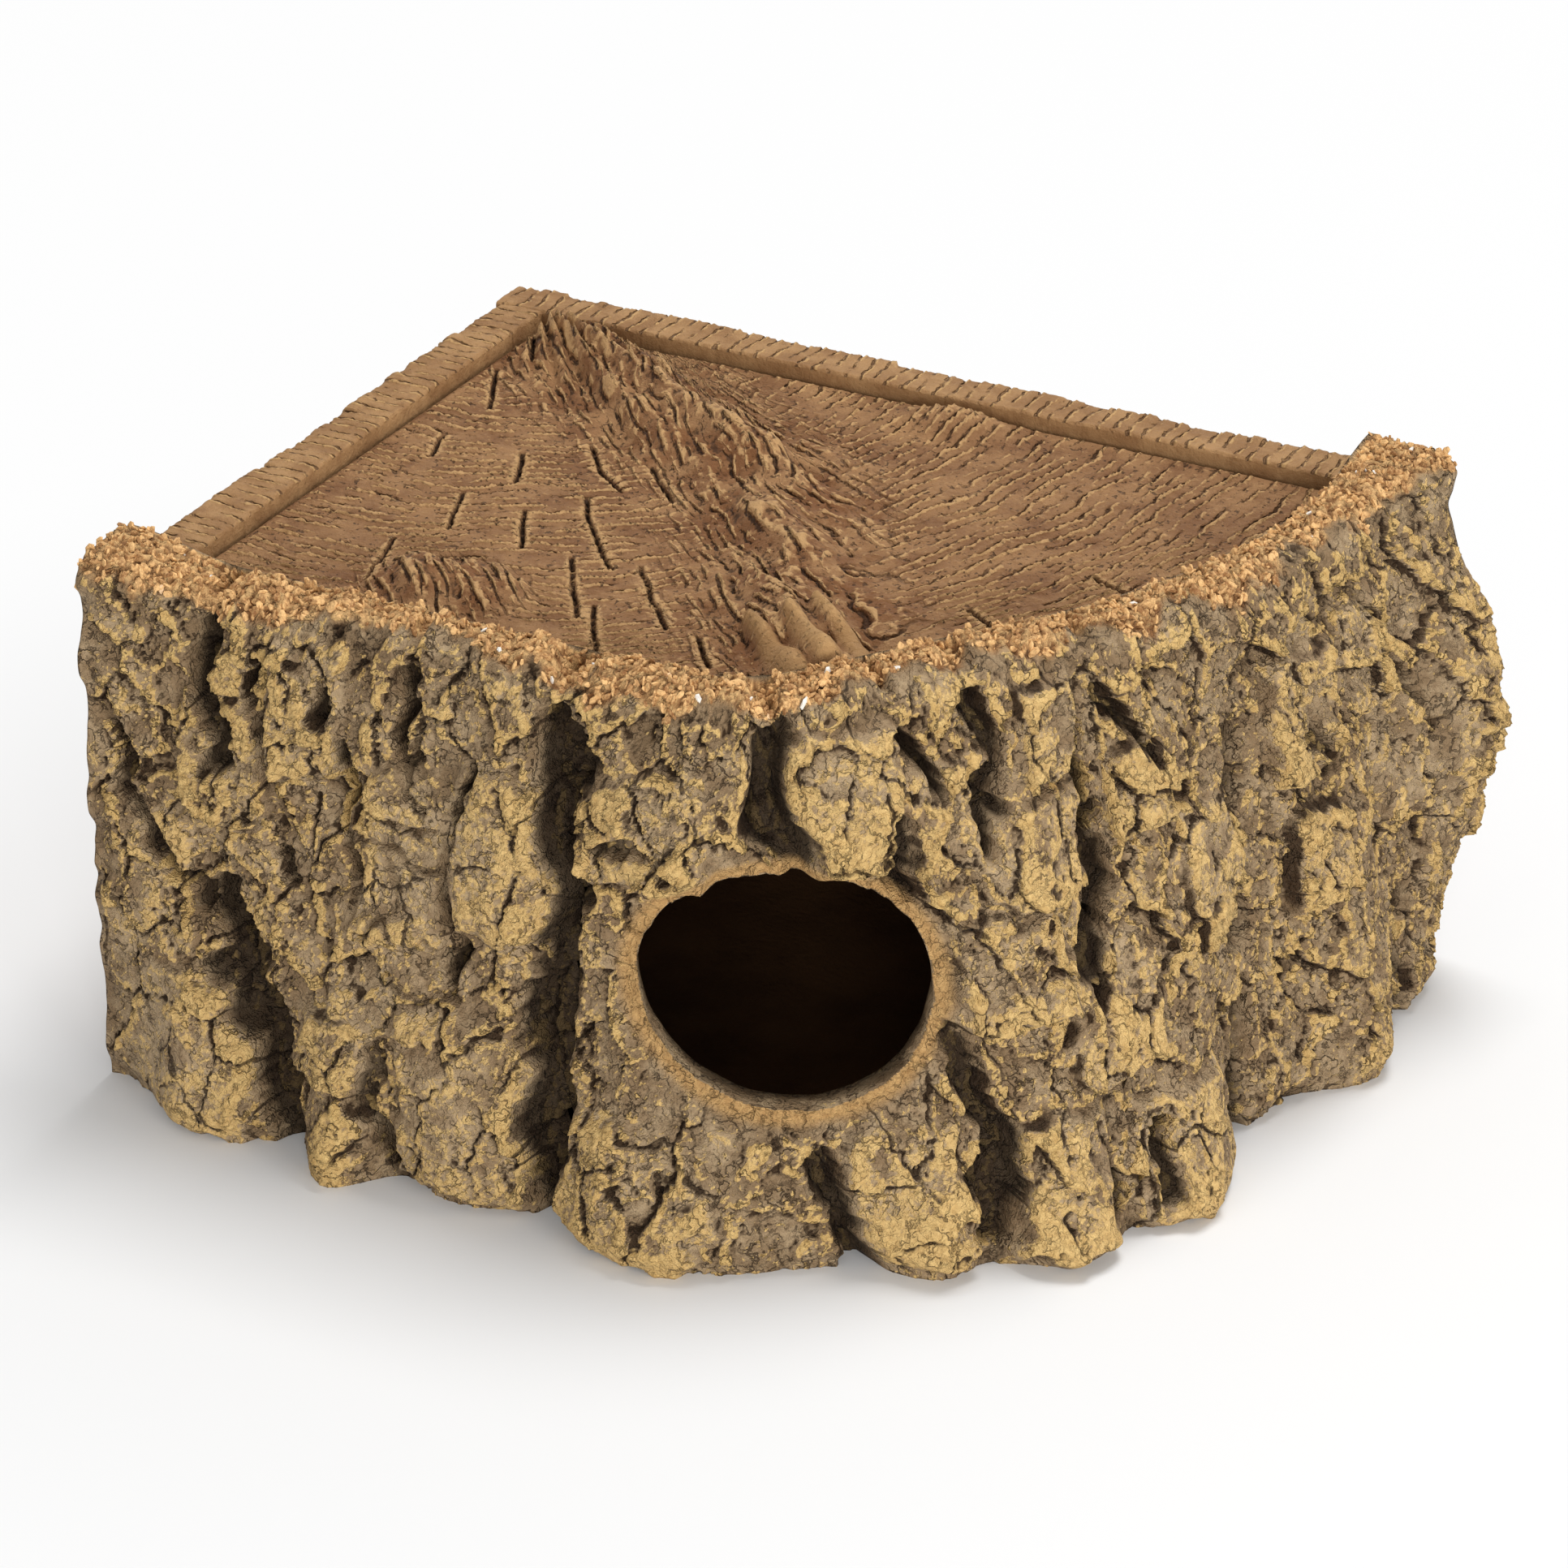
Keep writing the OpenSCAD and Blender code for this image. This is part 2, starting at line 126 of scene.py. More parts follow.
# Furrows, cracks and pits: half width, depth, then points by distance along the bark and height
FURROWS = [
    (4.5, 7, [(3, 86), (9, 74), (14, 62), (24, 50)]),
    (4.5, 8, [(25, 108), (26, 95), (30, 86), (31, 80)]),
    (2.2, 5, [(38, 104), (37, 97)]),
    (2.6, 7, [(41, 92), (43, 80)]),
    (3.0, 6, [(46, 66), (48, 60)]),
    (6.5, 9, [(30, 50), (34, 44), (38, 34), (44, 24), (50, 12), (52, 0)]),
    (6.0, 7, [(34, 52), (35, 42), (33, 36)]),
    (2.0, 5, [(55, 103), (54, 96)]),
    (1.6, 5, [(60, 88), (62, 76), (63, 66)]),
    (2.6, 6, [(73, 106), (71, 97), (74, 91)]),
    (1.7, 5, [(76, 95), (75, 85), (77, 81)]),
    (1.6, 4.5, [(89, 93), (87, 83), (86, 70), (87, 60), (87, 48)]),
    (1.0, 2.5, [(65, 72), (76, 71), (86, 72)]),
    (0.9, 2.0, [(70, 78), (82, 78)]),
    (1.0, 2.5, [(68, 55), (84, 55)]),
    (1.0, 2.2, [(72, 44), (88, 45)]),
    (0.8, 1.6, [(74, 68), (74, 60)]),
    (7.5, 9.5, [(108, 106), (108, 95), (109, 85), (112, 72), (113, 62), (110, 50), (109, 40), (110, 25),
                (112, 12), (113, 0)]),
    (9.0, 5, [(110, 54), (110, 42)]),
    (5.5, 9, [(146, 108), (144, 100), (145, 90), (147, 82)]),
    (2.0, 4, [(120, 83), (126, 87), (131, 84), (133, 79)]),
    (2.6, 8, [(167, 107), (171, 100), (175, 94)]),
    (4.0, 8, [(163, 90), (164, 76)]),
    (3.6, 6, [(183, 108), (186, 98), (184, 90), (183, 82)]),
    (3.2, 7, [(207, 100), (204, 92), (206, 84), (206, 76), (207, 66), (203, 58), (203, 50)]),
    (2.8, 6, [(212, 106), (218, 98), (222, 92)]),
    (3.0, 6, [(170, 46), (174, 41)]),
    (5.0, 9, [(174, 38), (176, 25), (176, 15), (175, 6)]),
    (4.0, 8, [(148, 24), (149, 12), (150, 0)]),
    (3.0, 5, [(200, 12), (200, 5)]),
    (3.2, 6, [(211, 20), (209, 6)]),
    (5.0, 4, [(243, 84), (242, 72)]),
    (4.0, 4, [(238, 58), (240, 46)]),
    (4.5, 4, [(262, 84), (268, 70)]),
    (2.5, 3, [(284, 100), (292, 86), (300, 70)]),
    (6.0, 5, [(240, 30), (234, 14), (238, 0)]),
    (5.0, 5, [(290, 30), (290, 0)]),
    (3.5, 5, [(70, 28), (73, 14), (76, 4)]),
]

# Calm patches with broad smooth plates: distance along the bark, height, half width, half height
CALM = [(80, 70, 30, 42), (24, 12, 24, 20), (92, 22, 16, 20)]

# Lid, in plan from its back corner: first number along the long wall, second towards the front
# Twisted root ridge: half width, share of the relief, points
RIDGES = [(15, 1.0, [(10, 10), (28, 18), (50, 33), (78, 46)]),
          (14, 0.6, [(78, 46), (96, 68), (116, 100), (134, 126)])]
# Knots: place, half length, half width, share of the relief
KNOTS = [(78, 44, 9, 9, 0.9), (50, 128, 20, 15, 0.85), (106, 6, 20, 11, 0.6), (136, 128, 17, 13, 0.75)]
# Knot whose grain runs round it, and the hollow behind the toes: middle, half length, half width
GRAIN_KNOT = (50, 128, 26, 20)
HEEL = (136, 126, 20, 16)
# Smooth toes of the root at the front edge
TOES = [[(114, 116), (136, 136)], [(123, 116), (138, 128)], [(125, 107), (143, 120), (151, 120)]]
# Checks that opened as the wood dried
CHECKS = [
    [(31, 63), (37, 76)], [(43, 54), (52, 65), (59, 70)], [(54, 77), (64, 91), (76, 105)],
    [(59, 56), (71, 70)], [(66, 104), (81, 128)], [(81, 101), (99, 124)], [(81, 121), (96, 147)],
    [(30, 86), (36, 103)], [(29, 113), (34, 133)], [(107, 124), (116, 136)], [(46, 88), (54, 104)],
    [(3, 26), (13, 46)], [(5, 13), (9, 21)], [(11, 62), (14, 73)], [(166, 62), (182, 70)],
    [(150, 88), (163, 97)],
]


class Graph:
    """A node tree being wired. node() adds any node and gives one of its outputs."""

    def __init__(self, tree):
        self.tree = tree

    def feed(self, made, inputs):
        """Sets or links the sockets of a node."""
        for key, value in inputs.items():
            if isinstance(value, Wire):
                self.tree.links.new(value.socket, made.inputs[key])
            else:
                made.inputs[key].default_value = value

    def node(self, kind, settings=None, inputs=None, out=0):
        made = self.tree.nodes.new(kind)
        for name, value in (settings or {}).items():
            setattr(made, name, value)
        self.feed(made, inputs or {})
        return Wire(self, made.outputs[out]) if len(made.outputs) else None

    def math(self, operation, *values):
        return self.node("ShaderNodeMath", {"operation": operation}, dict(enumerate(values)))

    def most(self, a, b):
        return self.math("MAXIMUM", a, b)

    def vector(self, operation, a, b, out=0):
        return self.node("ShaderNodeVectorMath", {"operation": operation}, {0: a, 1: b}, out)

    def length(self, vector):
        return self.node("ShaderNodeVectorMath", {"operation": "LENGTH"}, {0: vector}, 1)

    def scaled(self, vector, factor):
        return self.node("ShaderNodeVectorMath", {"operation": "SCALE"}, {0: vector, "Scale": factor})

    def axis(self, vector, index):
        return self.node("ShaderNodeSeparateXYZ", None, {0: vector}, index)

    def joined(self, x, y, z=0.0):
        return self.node("ShaderNodeCombineXYZ", None, {0: x, 1: y, 2: z})

    def mix(self, share, a, b):
        return self.node("ShaderNodeMix", {"data_type": "RGBA"}, {0: share, 6: a, 7: b}, 2)

    def rise(self, value, low, high):
        ramp = {"interpolation_type": "SMOOTHSTEP"}
        return self.node("ShaderNodeMapRange", ramp, {"Value": value, "From Min": low, "From Max": high})

    def noise(self, vector, scale, detail, roughness, out=0):
        sizes = {"Vector": vector, "Scale": scale, "Detail": detail, "Roughness": roughness}
        return self.node("ShaderNodeTexNoise", None, sizes, out)

    def cells(self, vector, out="Color", feature="F1"):
        settings = {"voronoi_dimensions": "2D", "feature": feature}
        return self.node("ShaderNodeTexVoronoi", settings, {"Vector": vector, "Scale": 1.0}, out)

    def seams(self, vector, low, high):
        """1 on the thin lines between cells."""
        return 1 - self.rise(self.cells(vector, "Distance", "DISTANCE_TO_EDGE"), low, high)


class Wire:
    """One socket of a graph. Arithmetic on wires adds Math nodes."""

    def __init__(self, graph, socket):
        self.graph = graph
        self.socket = socket

    def __add__(self, other):
        return self.graph.math("ADD", self, other)

    def __sub__(self, other):
        return self.graph.math("SUBTRACT", self, other)

    def __rsub__(self, other):
        return self.graph.math("SUBTRACT", other, self)

    def __mul__(self, other):
        return self.graph.math("MULTIPLY", self, other)

    def __truediv__(self, other):
        return self.graph.math("DIVIDE", self, other)

    def __abs__(self):
        return self.graph.math("ABSOLUTE", self)

    __radd__ = __add__
    __rmul__ = __mul__


def smooth(x):
    """Soft step from 0 at 0 to 1 at 1."""
    t = np.clip(x, 0, 1)
    return t * t * (3 - 2 * t)


def bump(x):
    """Soft hump of height 1, that ends at -1 and 1."""
    return np.clip(1 - x * x, 0, None) ** 2


def waves(x, y, cell, seed):
    """Smooth random field from -1 to 1, with features about one cell across."""
    lattice = np.random.default_rng(seed).uniform(-1, 1, (256, 256))
    i, j = np.floor(x / cell).astype(int), np.floor(y / cell).astype(int)
    a, b = smooth(x / cell - i), smooth(y / cell - j)
    low = lattice[i % 256, j % 256] * (1 - a) + lattice[(i + 1) % 256, j % 256] * a
    high = lattice[i % 256, (j + 1) % 256] * (1 - a) + lattice[(i + 1) % 256, (j + 1) % 256] * a
    return low * (1 - b) + high * b


def layered(x, y, *layers):
    """Sum of random fields, each given by its height, cell and seed."""
    return sum(height * waves(x, y, cell, seed) for height, cell, seed in layers)


def run_gap(x, y, run):
    """Distance from points to a run of straight pieces."""
    best = np.full(np.shape(x), np.inf)
    for (ax, ay), (bx, by) in zip(run, run[1:]):
        dx, dy = bx - ax, by - ay
        t = np.clip(((x - ax) * dx + (y - ay) * dy) / (dx * dx + dy * dy), 0, 1)
        best = np.minimum(best, np.hypot(x - ax - t * dx, y - ay - t * dy))
    return best


# Inside line of the bark, by distance from the short wall's end
def heading(s):
    """Direction in which the line runs."""
    return np.interp(s, [0, FRONT_RUN, CORNER_END, FLANK_START, FLANK_END, BARK_LENGTH],
                     [0, 0, CORNER_TURN, CORNER_TURN, math.pi / 2, math.pi / 2])


LINE_STEPS = np.linspace(0, BARK_LENGTH, 12001)
LINE_MIDDLES = heading((LINE_STEPS[1:] + LINE_STEPS[:-1]) / 2)
LINE_X = np.concatenate([[0], np.cumsum(np.cos(LINE_MIDDLES) * np.diff(LINE_STEPS))])
LINE_Y = np.concatenate([[0], np.cumsum(np.sin(LINE_MIDDLES) * np.diff(LINE_STEPS))]) - DEN_DEPTH


def inside_line(s):
    return np.stack([np.interp(s, LINE_STEPS, LINE_X), np.interp(s, LINE_STEPS, LINE_Y)], -1)


def outward(s):
    """Direction from the line out of the den."""
    return np.stack([np.sin(heading(s)), -np.cos(heading(s))], -1)


# Shape of the bark
BARK_SPREAD = 22.0


def girth(s):
    """Length along the bark's outer face, which is longer than its inside line at the turns."""
    return s + BARK_SPREAD * heading(s)


def ends(s, blend=END_BLEND):
    """0 at the bark's two ends and 1 past a blend from them."""
    return smooth(s / blend) * smooth((BARK_LENGTH - s) / blend)


def rim_top(s):
    return WALL_HEIGHT + RIM_RISE + END_RISE * (1 - ends(s))


def flare(s):
    """How far the bark's foot stands out past its rim."""
    swell_end = (FLANK_START + FLANK_END) / 2
    middle = (FRONT_RUN + swell_end) / 2
    return FOOT_FLARE * ends(s) + FLANK_SWELL * bump((s - middle) / (swell_end - middle))


def hollow(s, z):
    """How far the inside of the bark is cut back from its inside line."""
    clear = smooth((s - WALL_T) / END_BLEND) * smooth((BARK_LENGTH - WALL_T - s) / END_BLEND)
    foot = np.clip(RIM_WIDTH + flare(s) - FOOT_T, 0, None) * clear
    middle = (FLOOR_T + LEDGE_BOTTOM) / 2
    door = bump((s - ENTRANCE_AT) / DOORWAY_HALF) * bump((z - middle) / (middle - FLOOR_T))
    return foot * np.clip((LEDGE_BOTTOM - z) / (LEDGE_BOTTOM - FLOOR_T), 0, 1) + DOORWAY_HOLLOW * door


def furrow_depth(s, z):
    """Depth of the furrows, with ragged edges."""
    x = girth(s)
    rag_x = x + layered(x, z, (2.4, 9, 1), (1.3, 3.4, 2), (0.7, 1.4, 6))
    rag_z = z + layered(x, z, (2.4, 9, 3), (1.3, 3.4, 4), (0.7, 1.4, 7))
    uneven = 1 + 0.35 * waves(x, z, 11, 5)
    depth = np.zeros(np.shape(x))
    for half, deep, run in FURROWS:
        gap = run_gap(rag_x, rag_z, [(float(girth(p)), q) for p, q in run])
        depth = np.maximum(depth, deep * uneven * (1 - smooth((gap / half / uneven - 0.2) / 0.7)))
    return depth * ends(s, WORN_ENDS)


def slab_share(s, z):
    """1 on the slabs and 0 between them, with ragged edges, a little higher at a slab's foot."""
    x = girth(s)
    rag = layered(x, z, (2.0, 8, 41), (1.2, 3, 42))
    lag = layered(x, z, (2.0, 8, 43), (1.2, 3, 44))
    d = s - ENTRANCE_AT
    total = np.zeros(np.broadcast(s, z).shape)
    for at, height, half_width, half_height, share in SLABS:
        across, up = (d + rag - at) / half_width, (z + lag - height) / half_height
        edge = (1 - smooth(5 * np.abs(across) - 4)) * (1 - smooth(5 * np.abs(up) - 4))
        total = total + share * edge * (1 - 0.2 * up)
    return total


def plain_bark(s, z):
    """Offset of the bark's outer face from the inside line, without roots, plates and slabs."""
    return RIM_WIDTH + RIM_END * (1 - ends(s)) + flare(s) * (1 - z / rim_top(s))


def outside(s, z):
    """Offset of the bark's outer face from the inside line, before the furrows are cut."""
    d = s - ENTRANCE_AT
    roots = sum(reach * bump((d - at) / half) * np.clip(1 - z / climb, 0, None)
                for at, half, reach, climb in ROOTS)
    plates = sum(relief * bump((d - at) / half_width) * bump((z - height) / half_height)
                 for at, height, half_width, half_height, relief in PLATES)
    slabs = SLAB_RELIEF * (slab_share(s, z) - SLAB_SINK)
    rounded = FOOT_ROUND * (1 - smooth(z / FOOT_RISE)) ** 2
    return plain_bark(s, z) + ends(s) * (roots + slabs) + plates - rounded


ENTRANCE_AXIS = np.array([math.sin(ENTRANCE_HEADING), -math.cos(ENTRANCE_HEADING)])
ENTRANCE_SIDE = np.array([math.cos(ENTRANCE_HEADING), math.sin(ENTRANCE_HEADING)])
ENTRANCE_MOUTH = inside_line(ENTRANCE_AT) + ENTRANCE_DEPTH * outward(ENTRANCE_AT)
ENTRANCE_Z = ENTRANCE_SILL + ENTRANCE_H / 2


def entrance_gap(xy, z):
    """Distance in mm outside the oval entrance, seen along its axis; negative inside it."""
    across = (xy - ENTRANCE_MOUTH) @ ENTRANCE_SIDE
    up = z - ENTRANCE_Z
    x = across * math.cos(ENTRANCE_LEAN) - up * math.sin(ENTRANCE_LEAN)
    y = across * math.sin(ENTRANCE_LEAN) + up * math.cos(ENTRANCE_LEAN)
    return (np.hypot(2 * x / ENTRANCE_W, 2 * y / ENTRANCE_H) - 1) * ENTRANCE_H / 2


# Meshes
def in_scene(name, data):
    """A new object of the scene."""
    made = bpy.data.objects.new(name, data)
    bpy.context.scene.collection.objects.link(made)
    return made


def by_point(fields):
    """Grids of values or vectors, as one row per point."""
    return {name: grid.reshape((-1,) + grid.shape[2:]) for name, grid in fields.items()}


def plain_mesh(name, points, faces, fields=None):
    """A mesh object from points in mm, with one value or vector per point for each field."""
    mesh = bpy.data.meshes.new(name)
    mesh.from_pydata((points * MM + BACK_CORNER).tolist(), [], faces)
    for field, values in (fields or {}).items():
        kind = "FLOAT" if values.ndim == 1 else "FLOAT_VECTOR"
        layer = mesh.attributes.new(field, kind, "POINT")
        layer.data.foreach_set("value" if values.ndim == 1 else "vector", values.astype(np.float32).ravel())
    mesh.shade_smooth()
    return in_scene(name, mesh)


def end_strip(ring, split):
    """Triangles across a ring, between its first points and the rest."""
    mates = [ring - 1 - round(j * (ring - split - 1) / (split - 1)) for j in range(split)]
    faces = [[j, j + 1, mates[j]] for j in range(split - 1)]
    return faces + [[j + 1, mates[j + 1], mates[j]] for j in range(split - 1) if mates[j + 1] != mates[j]]


def tube_faces(columns, ring, split=None):
    """Faces of a tube of closed rings with both ends capped, by one face or by a strip of triangles."""
    i, j = np.meshgrid(np.arange(columns - 1), np.arange(ring), indexing="ij")
    a = (i * ring + j).ravel()
    b = (i * ring + (j + 1) % ring).ravel()
    sides = np.stack([a, b, b + ring, a + ring], -1).tolist()
    caps = end_strip(ring, split) if split else [list(range(ring))]
    first = [face[::-1] for face in caps]
    last = [[(columns - 1) * ring + k for k in face] for face in caps]
    return sides + first + last


def grown(piece, tree, sizes=None):
    """Runs a geometry tree on a piece and keeps the result as the piece's plain mesh."""
    modifier = piece.modifiers.new("grow", "NODES")
    modifier.node_group = tree
    for item in tree.interface.items_tree:
        if item.in_out == "INPUT" and item.name in (sizes or {}):
            modifier[item.identifier] = sizes[item.name]
    return settled(piece)


def settled(piece):
    """Replaces a piece's mesh by its evaluated one and removes the modifiers."""
    depsgraph = bpy.context.evaluated_depsgraph_get()
    depsgraph.update()
    mesh = bpy.data.meshes.new_from_object(piece.evaluated_get(depsgraph), preserve_all_data_layers=True,
                                           depsgraph=depsgraph)
    piece.modifiers.clear()
    old = piece.data
    piece.data = mesh
    mesh.name = piece.name
    bpy.data.meshes.remove(old)
    return piece


def crisp(piece):
    """Keeps the sharp edges of a piece from being shaded round."""
    piece.data.set_sharp_from_angle(angle=math.radians(50))
    return piece


class GeometryGraph(Graph):
    """A geometry tree with named inputs."""

    def __init__(self, name, sizes):
        tree = bpy.data.node_groups.new(name, "GeometryNodeTree")
        super().__init__(tree)
        tree.interface.new_socket("Geometry", in_out="INPUT", socket_type="NodeSocketGeometry")
        for label, value in sizes.items():
            kind = "NodeSocketMaterial" if value is None else "NodeSocketFloat"
            socket = tree.interface.new_socket(label, in_out="INPUT", socket_type=kind)
            if value is not None:
                socket.default_value = value
        tree.interface.new_socket("Geometry", in_out="OUTPUT", socket_type="NodeSocketGeometry")
        self.source = tree.nodes.new("NodeGroupInput")

    def given(self, label):
        return Wire(self, self.source.outputs[label])

    def field(self, name, kind="FLOAT"):
        return self.node("GeometryNodeInputNamedAttribute", {"data_type": kind}, {"Name": name})

    def chance(self, low, high, seed):
        """A random number for each point."""
        limits = {2: low, 3: high, "Seed": seed}
        return self.node("FunctionNodeRandomValue", {"data_type": "FLOAT"}, limits, 1)

    def stored(self, geometry, name, value):
        return self.node("GeometryNodeStoreNamedAttribute", {"data_type": "FLOAT", "domain": "POINT"},
                         {"Geometry": geometry, "Name": name, "Value": value})

    def done(self, geometry, material):
        real = self.node("GeometryNodeRealizeInstances", None, {0: geometry})
        coloured = self.node("GeometryNodeSetMaterial", None, {"Geometry": real, "Material": material})
        self.node("NodeGroupOutput", None, {0: coloured})
        return self.tree


# Bark
BARK_STEP = 0.5
BARK_CUTS = [0, 113, 206, BARK_LENGTH]
BARK_NAMES = ["bark_front", "bark_corner", "bark_flank"]
CRUMBS_FROM = 0.35
CUT_CRUMBS = CRUMBS_FROM - 0.01
LIP_WIDTH = 7.0
LIP_HOLLOW = 3.0
RIM_FURROWS_AT = 106.0
END_INSET = (0.96, 0.96, 0.997)
OUTER_ROWS = 230
ROUND_ROWS = 16
RIM_ROWS = 12
INNER_ROWS = 18
FOOT_ROWS = 3
LEAST_BARK = 6.0
FACET_SIZE = (11.0, 15.0, 1.0)
NET_SIZE = (2.8, 3.4, 1.0)
UNDER_SHARES = np.linspace(0, 1, FOOT_ROWS + 2)[1:-1]


def bark_columns(start, end):
    """Distances along the bark, evenly spaced on its outer face."""
    fine = np.linspace(start, end, 4001)
    count = int((girth(end) - girth(start)) / BARK_STEP)
    return np.interp(np.linspace(girth(start), girth(end), count), girth(fine), fine)


def bark_profile(s):
    """Offsets, heights, push out, push up and length along the profile for every point of the rings."""
    s = s[:, None]
    top = rim_top(s)
    z = np.linspace(0, 1, OUTER_ROWS)[None] * (top - RIM_ROUND)
    parts = [(outside(s, z), z, 1.0, 0.0, z)]
    turn = np.linspace(0, math.pi / 2, ROUND_ROWS + 1)[None, 1:]
    z = top - RIM_ROUND * (1 - np.sin(turn))
    edge = outside(s, z) - RIM_ROUND * (1 - np.cos(turn))
    parts.append((edge, z, np.cos(turn), np.sin(turn), top - RIM_ROUND + RIM_ROUND * turn))
    across = np.linspace(0, 1, RIM_ROWS + 1)[None, 1:]
    flat = edge[:, -1:] * (1 - across)
    parts.append((flat, top + 0 * across, 0.0, 1 - smooth((across - 0.8) / 0.2),
                  top + RIM_ROUND * (math.pi / 2 - 1) + edge[:, -1:] * across))
    z = top * (1 - np.linspace(0, 1, INNER_ROWS + 1)[None, 1:])
    parts.append((hollow(s, z), z, 0.0, 0.0, 2 * top - z))
    under = UNDER_SHARES[None]
    parts.append((hollow(s, 0 * s) + 0 * under, 0 * under * s, 0.0, 0.0, 2 * top + 10 * under))
    shape = [np.broadcast_shapes(*(np.shape(v) for v in part)) for part in parts]
    full = [[np.broadcast_to(v, (len(s), size[1])) for v in part] for part, size in zip(parts, shape)]
    return [np.concatenate([part[k] for part in full], 1) for k in range(5)]


def steepness(offset, x, length):
    """Slope of the bark's face along and up it."""
    along = np.gradient(offset, axis=0) / np.gradient(x, axis=0)
    up = np.gradient(offset, axis=1) / np.clip(np.gradient(length, axis=1), 0.1, None)
    return np.hypot(along, up)


def bark_place(s, offset):
    """Plan of points that stand off the inside line."""
    return inside_line(s)[:, None, :] + offset[..., None] * outward(s)[:, None, :]


def calmness(wide, z, offset, length, lip):
    """Strength of the flakes: weak on calm patches, at the foot, on the lip and on steep sides."""
    patches = [bump((wide - at) / half_width) * bump((z - height) / half_height)
               for at, height, half_width, half_height in CALM]
    calm = (1 - 0.75 * np.max(patches, 0)) * (0.35 + 0.65 * smooth(z / 7)) * (1 - 0.85 * lip)
    return calm / (1 + steepness(offset, girth(wide), length) ** 2)


def crumbled(wide, z, length):
    """1 past the ragged border where the bark turns to the crumbled rim."""
    border = layered(girth(wide), z, (4.0, 13, 11), (2.2, 4, 12), (1.2, 1.6, 13))
    return smooth((length - (rim_top(wide) - RIM_ROUND) - 3.5 + border) / 2.5)


def rim_waves(wide, z):
    """Ups and downs of the rim, which dips where a furrow reaches it."""
    x = girth(wide)
    dips = 0.45 * furrow_depth(wide, 0 * z + RIM_FURROWS_AT)
    return 1.3 * waves(x, 0 * z, 9, 14) + 0.8 * waves(x, z, 3.5, 15) - dips


def bark_fields(s):
    """Points in mm and the fields that the relief and the paint read, for columns at s."""
    offset, z, out, up, length = bark_profile(s)
    wide = np.broadcast_to(s[:, None], z.shape)
    x = girth(wide)
    facing = np.clip(out, 0, 1) * (up < 0.999)
    lip = (1 - smooth(entrance_gap(bark_place(s, offset), z) / LIP_WIDTH)) * facing
    furrow = furrow_depth(wide, np.minimum(z, length)) * facing * (1 - 0.6 * lip)
    kept = np.where(facing > 0, hollow(wide, z) + LEAST_BARK, offset)
    offset = np.maximum(offset - furrow - LIP_HOLLOW * lip ** 2, np.minimum(kept, offset))
    chipped = layered(x, z, (1.4, 11, 16), (1.0, 4, 17))
    offset = offset + facing * (1 - ends(wide, WORN_ENDS)) * chipped
    foot_in = offset[:, -FOOT_ROWS - 1:-FOOT_ROWS]
    offset[:, -FOOT_ROWS:] = foot_in + (offset[:, :1] - foot_in) * UNDER_SHARES
    points = np.concatenate([bark_place(s, offset), z[..., None]], -1)
    points[..., 2] += up * rim_waves(wide, z)
    crumb = crumbled(wide, z, length) * ((out > 0) | (up > 0))
    fields = {
        "chart": np.stack([x, length, np.zeros_like(x)], -1),
        "push": np.concatenate([outward(s)[:, None, :] * out[..., None], up[..., None]], -1),
        "macro": (offset - plain_bark(wide, z)) * (facing > 0.99),
        "bark": facing * (1 - crumb) * ends(wide, BARE_ENDS),
        "crumb": crumb,
        "calm": calmness(wide, z, offset, length, lip),
        "slab": np.clip(slab_share(wide, z), 0, 1) * facing,
        "lip": lip,
        "furrow": furrow,
        "inner": ((out == 0) & (up == 0) & (z < BROWN_TOP)) * 1.0,
    }
    return points.reshape(-1, 3), by_point(fields), z.shape


def with_bare_cuts(fields, shape, start, end):
    """Keeps the crumbs off the hidden cuts between the lengths of bark."""
    hidden = ([0] if start > 0 else []) + ([-1] if end < BARK_LENGTH else [])
    crumb = fields["crumb"].reshape(shape)
    crumb[hidden] = np.minimum(crumb[hidden], CUT_CRUMBS)
    return {**fields, "crumb": crumb.ravel()}


def with_end_face(points, fields, shape, first):
    """Adds a plain ring just inside the first or last one, so that the end face takes no bark paint."""
    ring = shape[1]
    rows = slice(0, ring) if first else slice(-ring, None)
    edge = points[rows]
    centre = (edge.min(0) + edge.max(0)) / 2
    plain = centre + (edge - centre) * END_INSET
    added = {name: np.zeros((ring,) + v.shape[1:]) for name, v in fields.items()}
    added["chart"] = fields["chart"][rows]
    added["inner"] = np.full(ring, 0.35)
    added["crumb"] = np.where(plain[:, 2] > WALL_HEIGHT, 1.0, 0.3)
    order = 1 if first else -1
    fields = {name: np.concatenate([added[name], v][::order]) for name, v in fields.items()}
    return np.concatenate([plain, points][::order]), fields, (shape[0] + 1, ring)


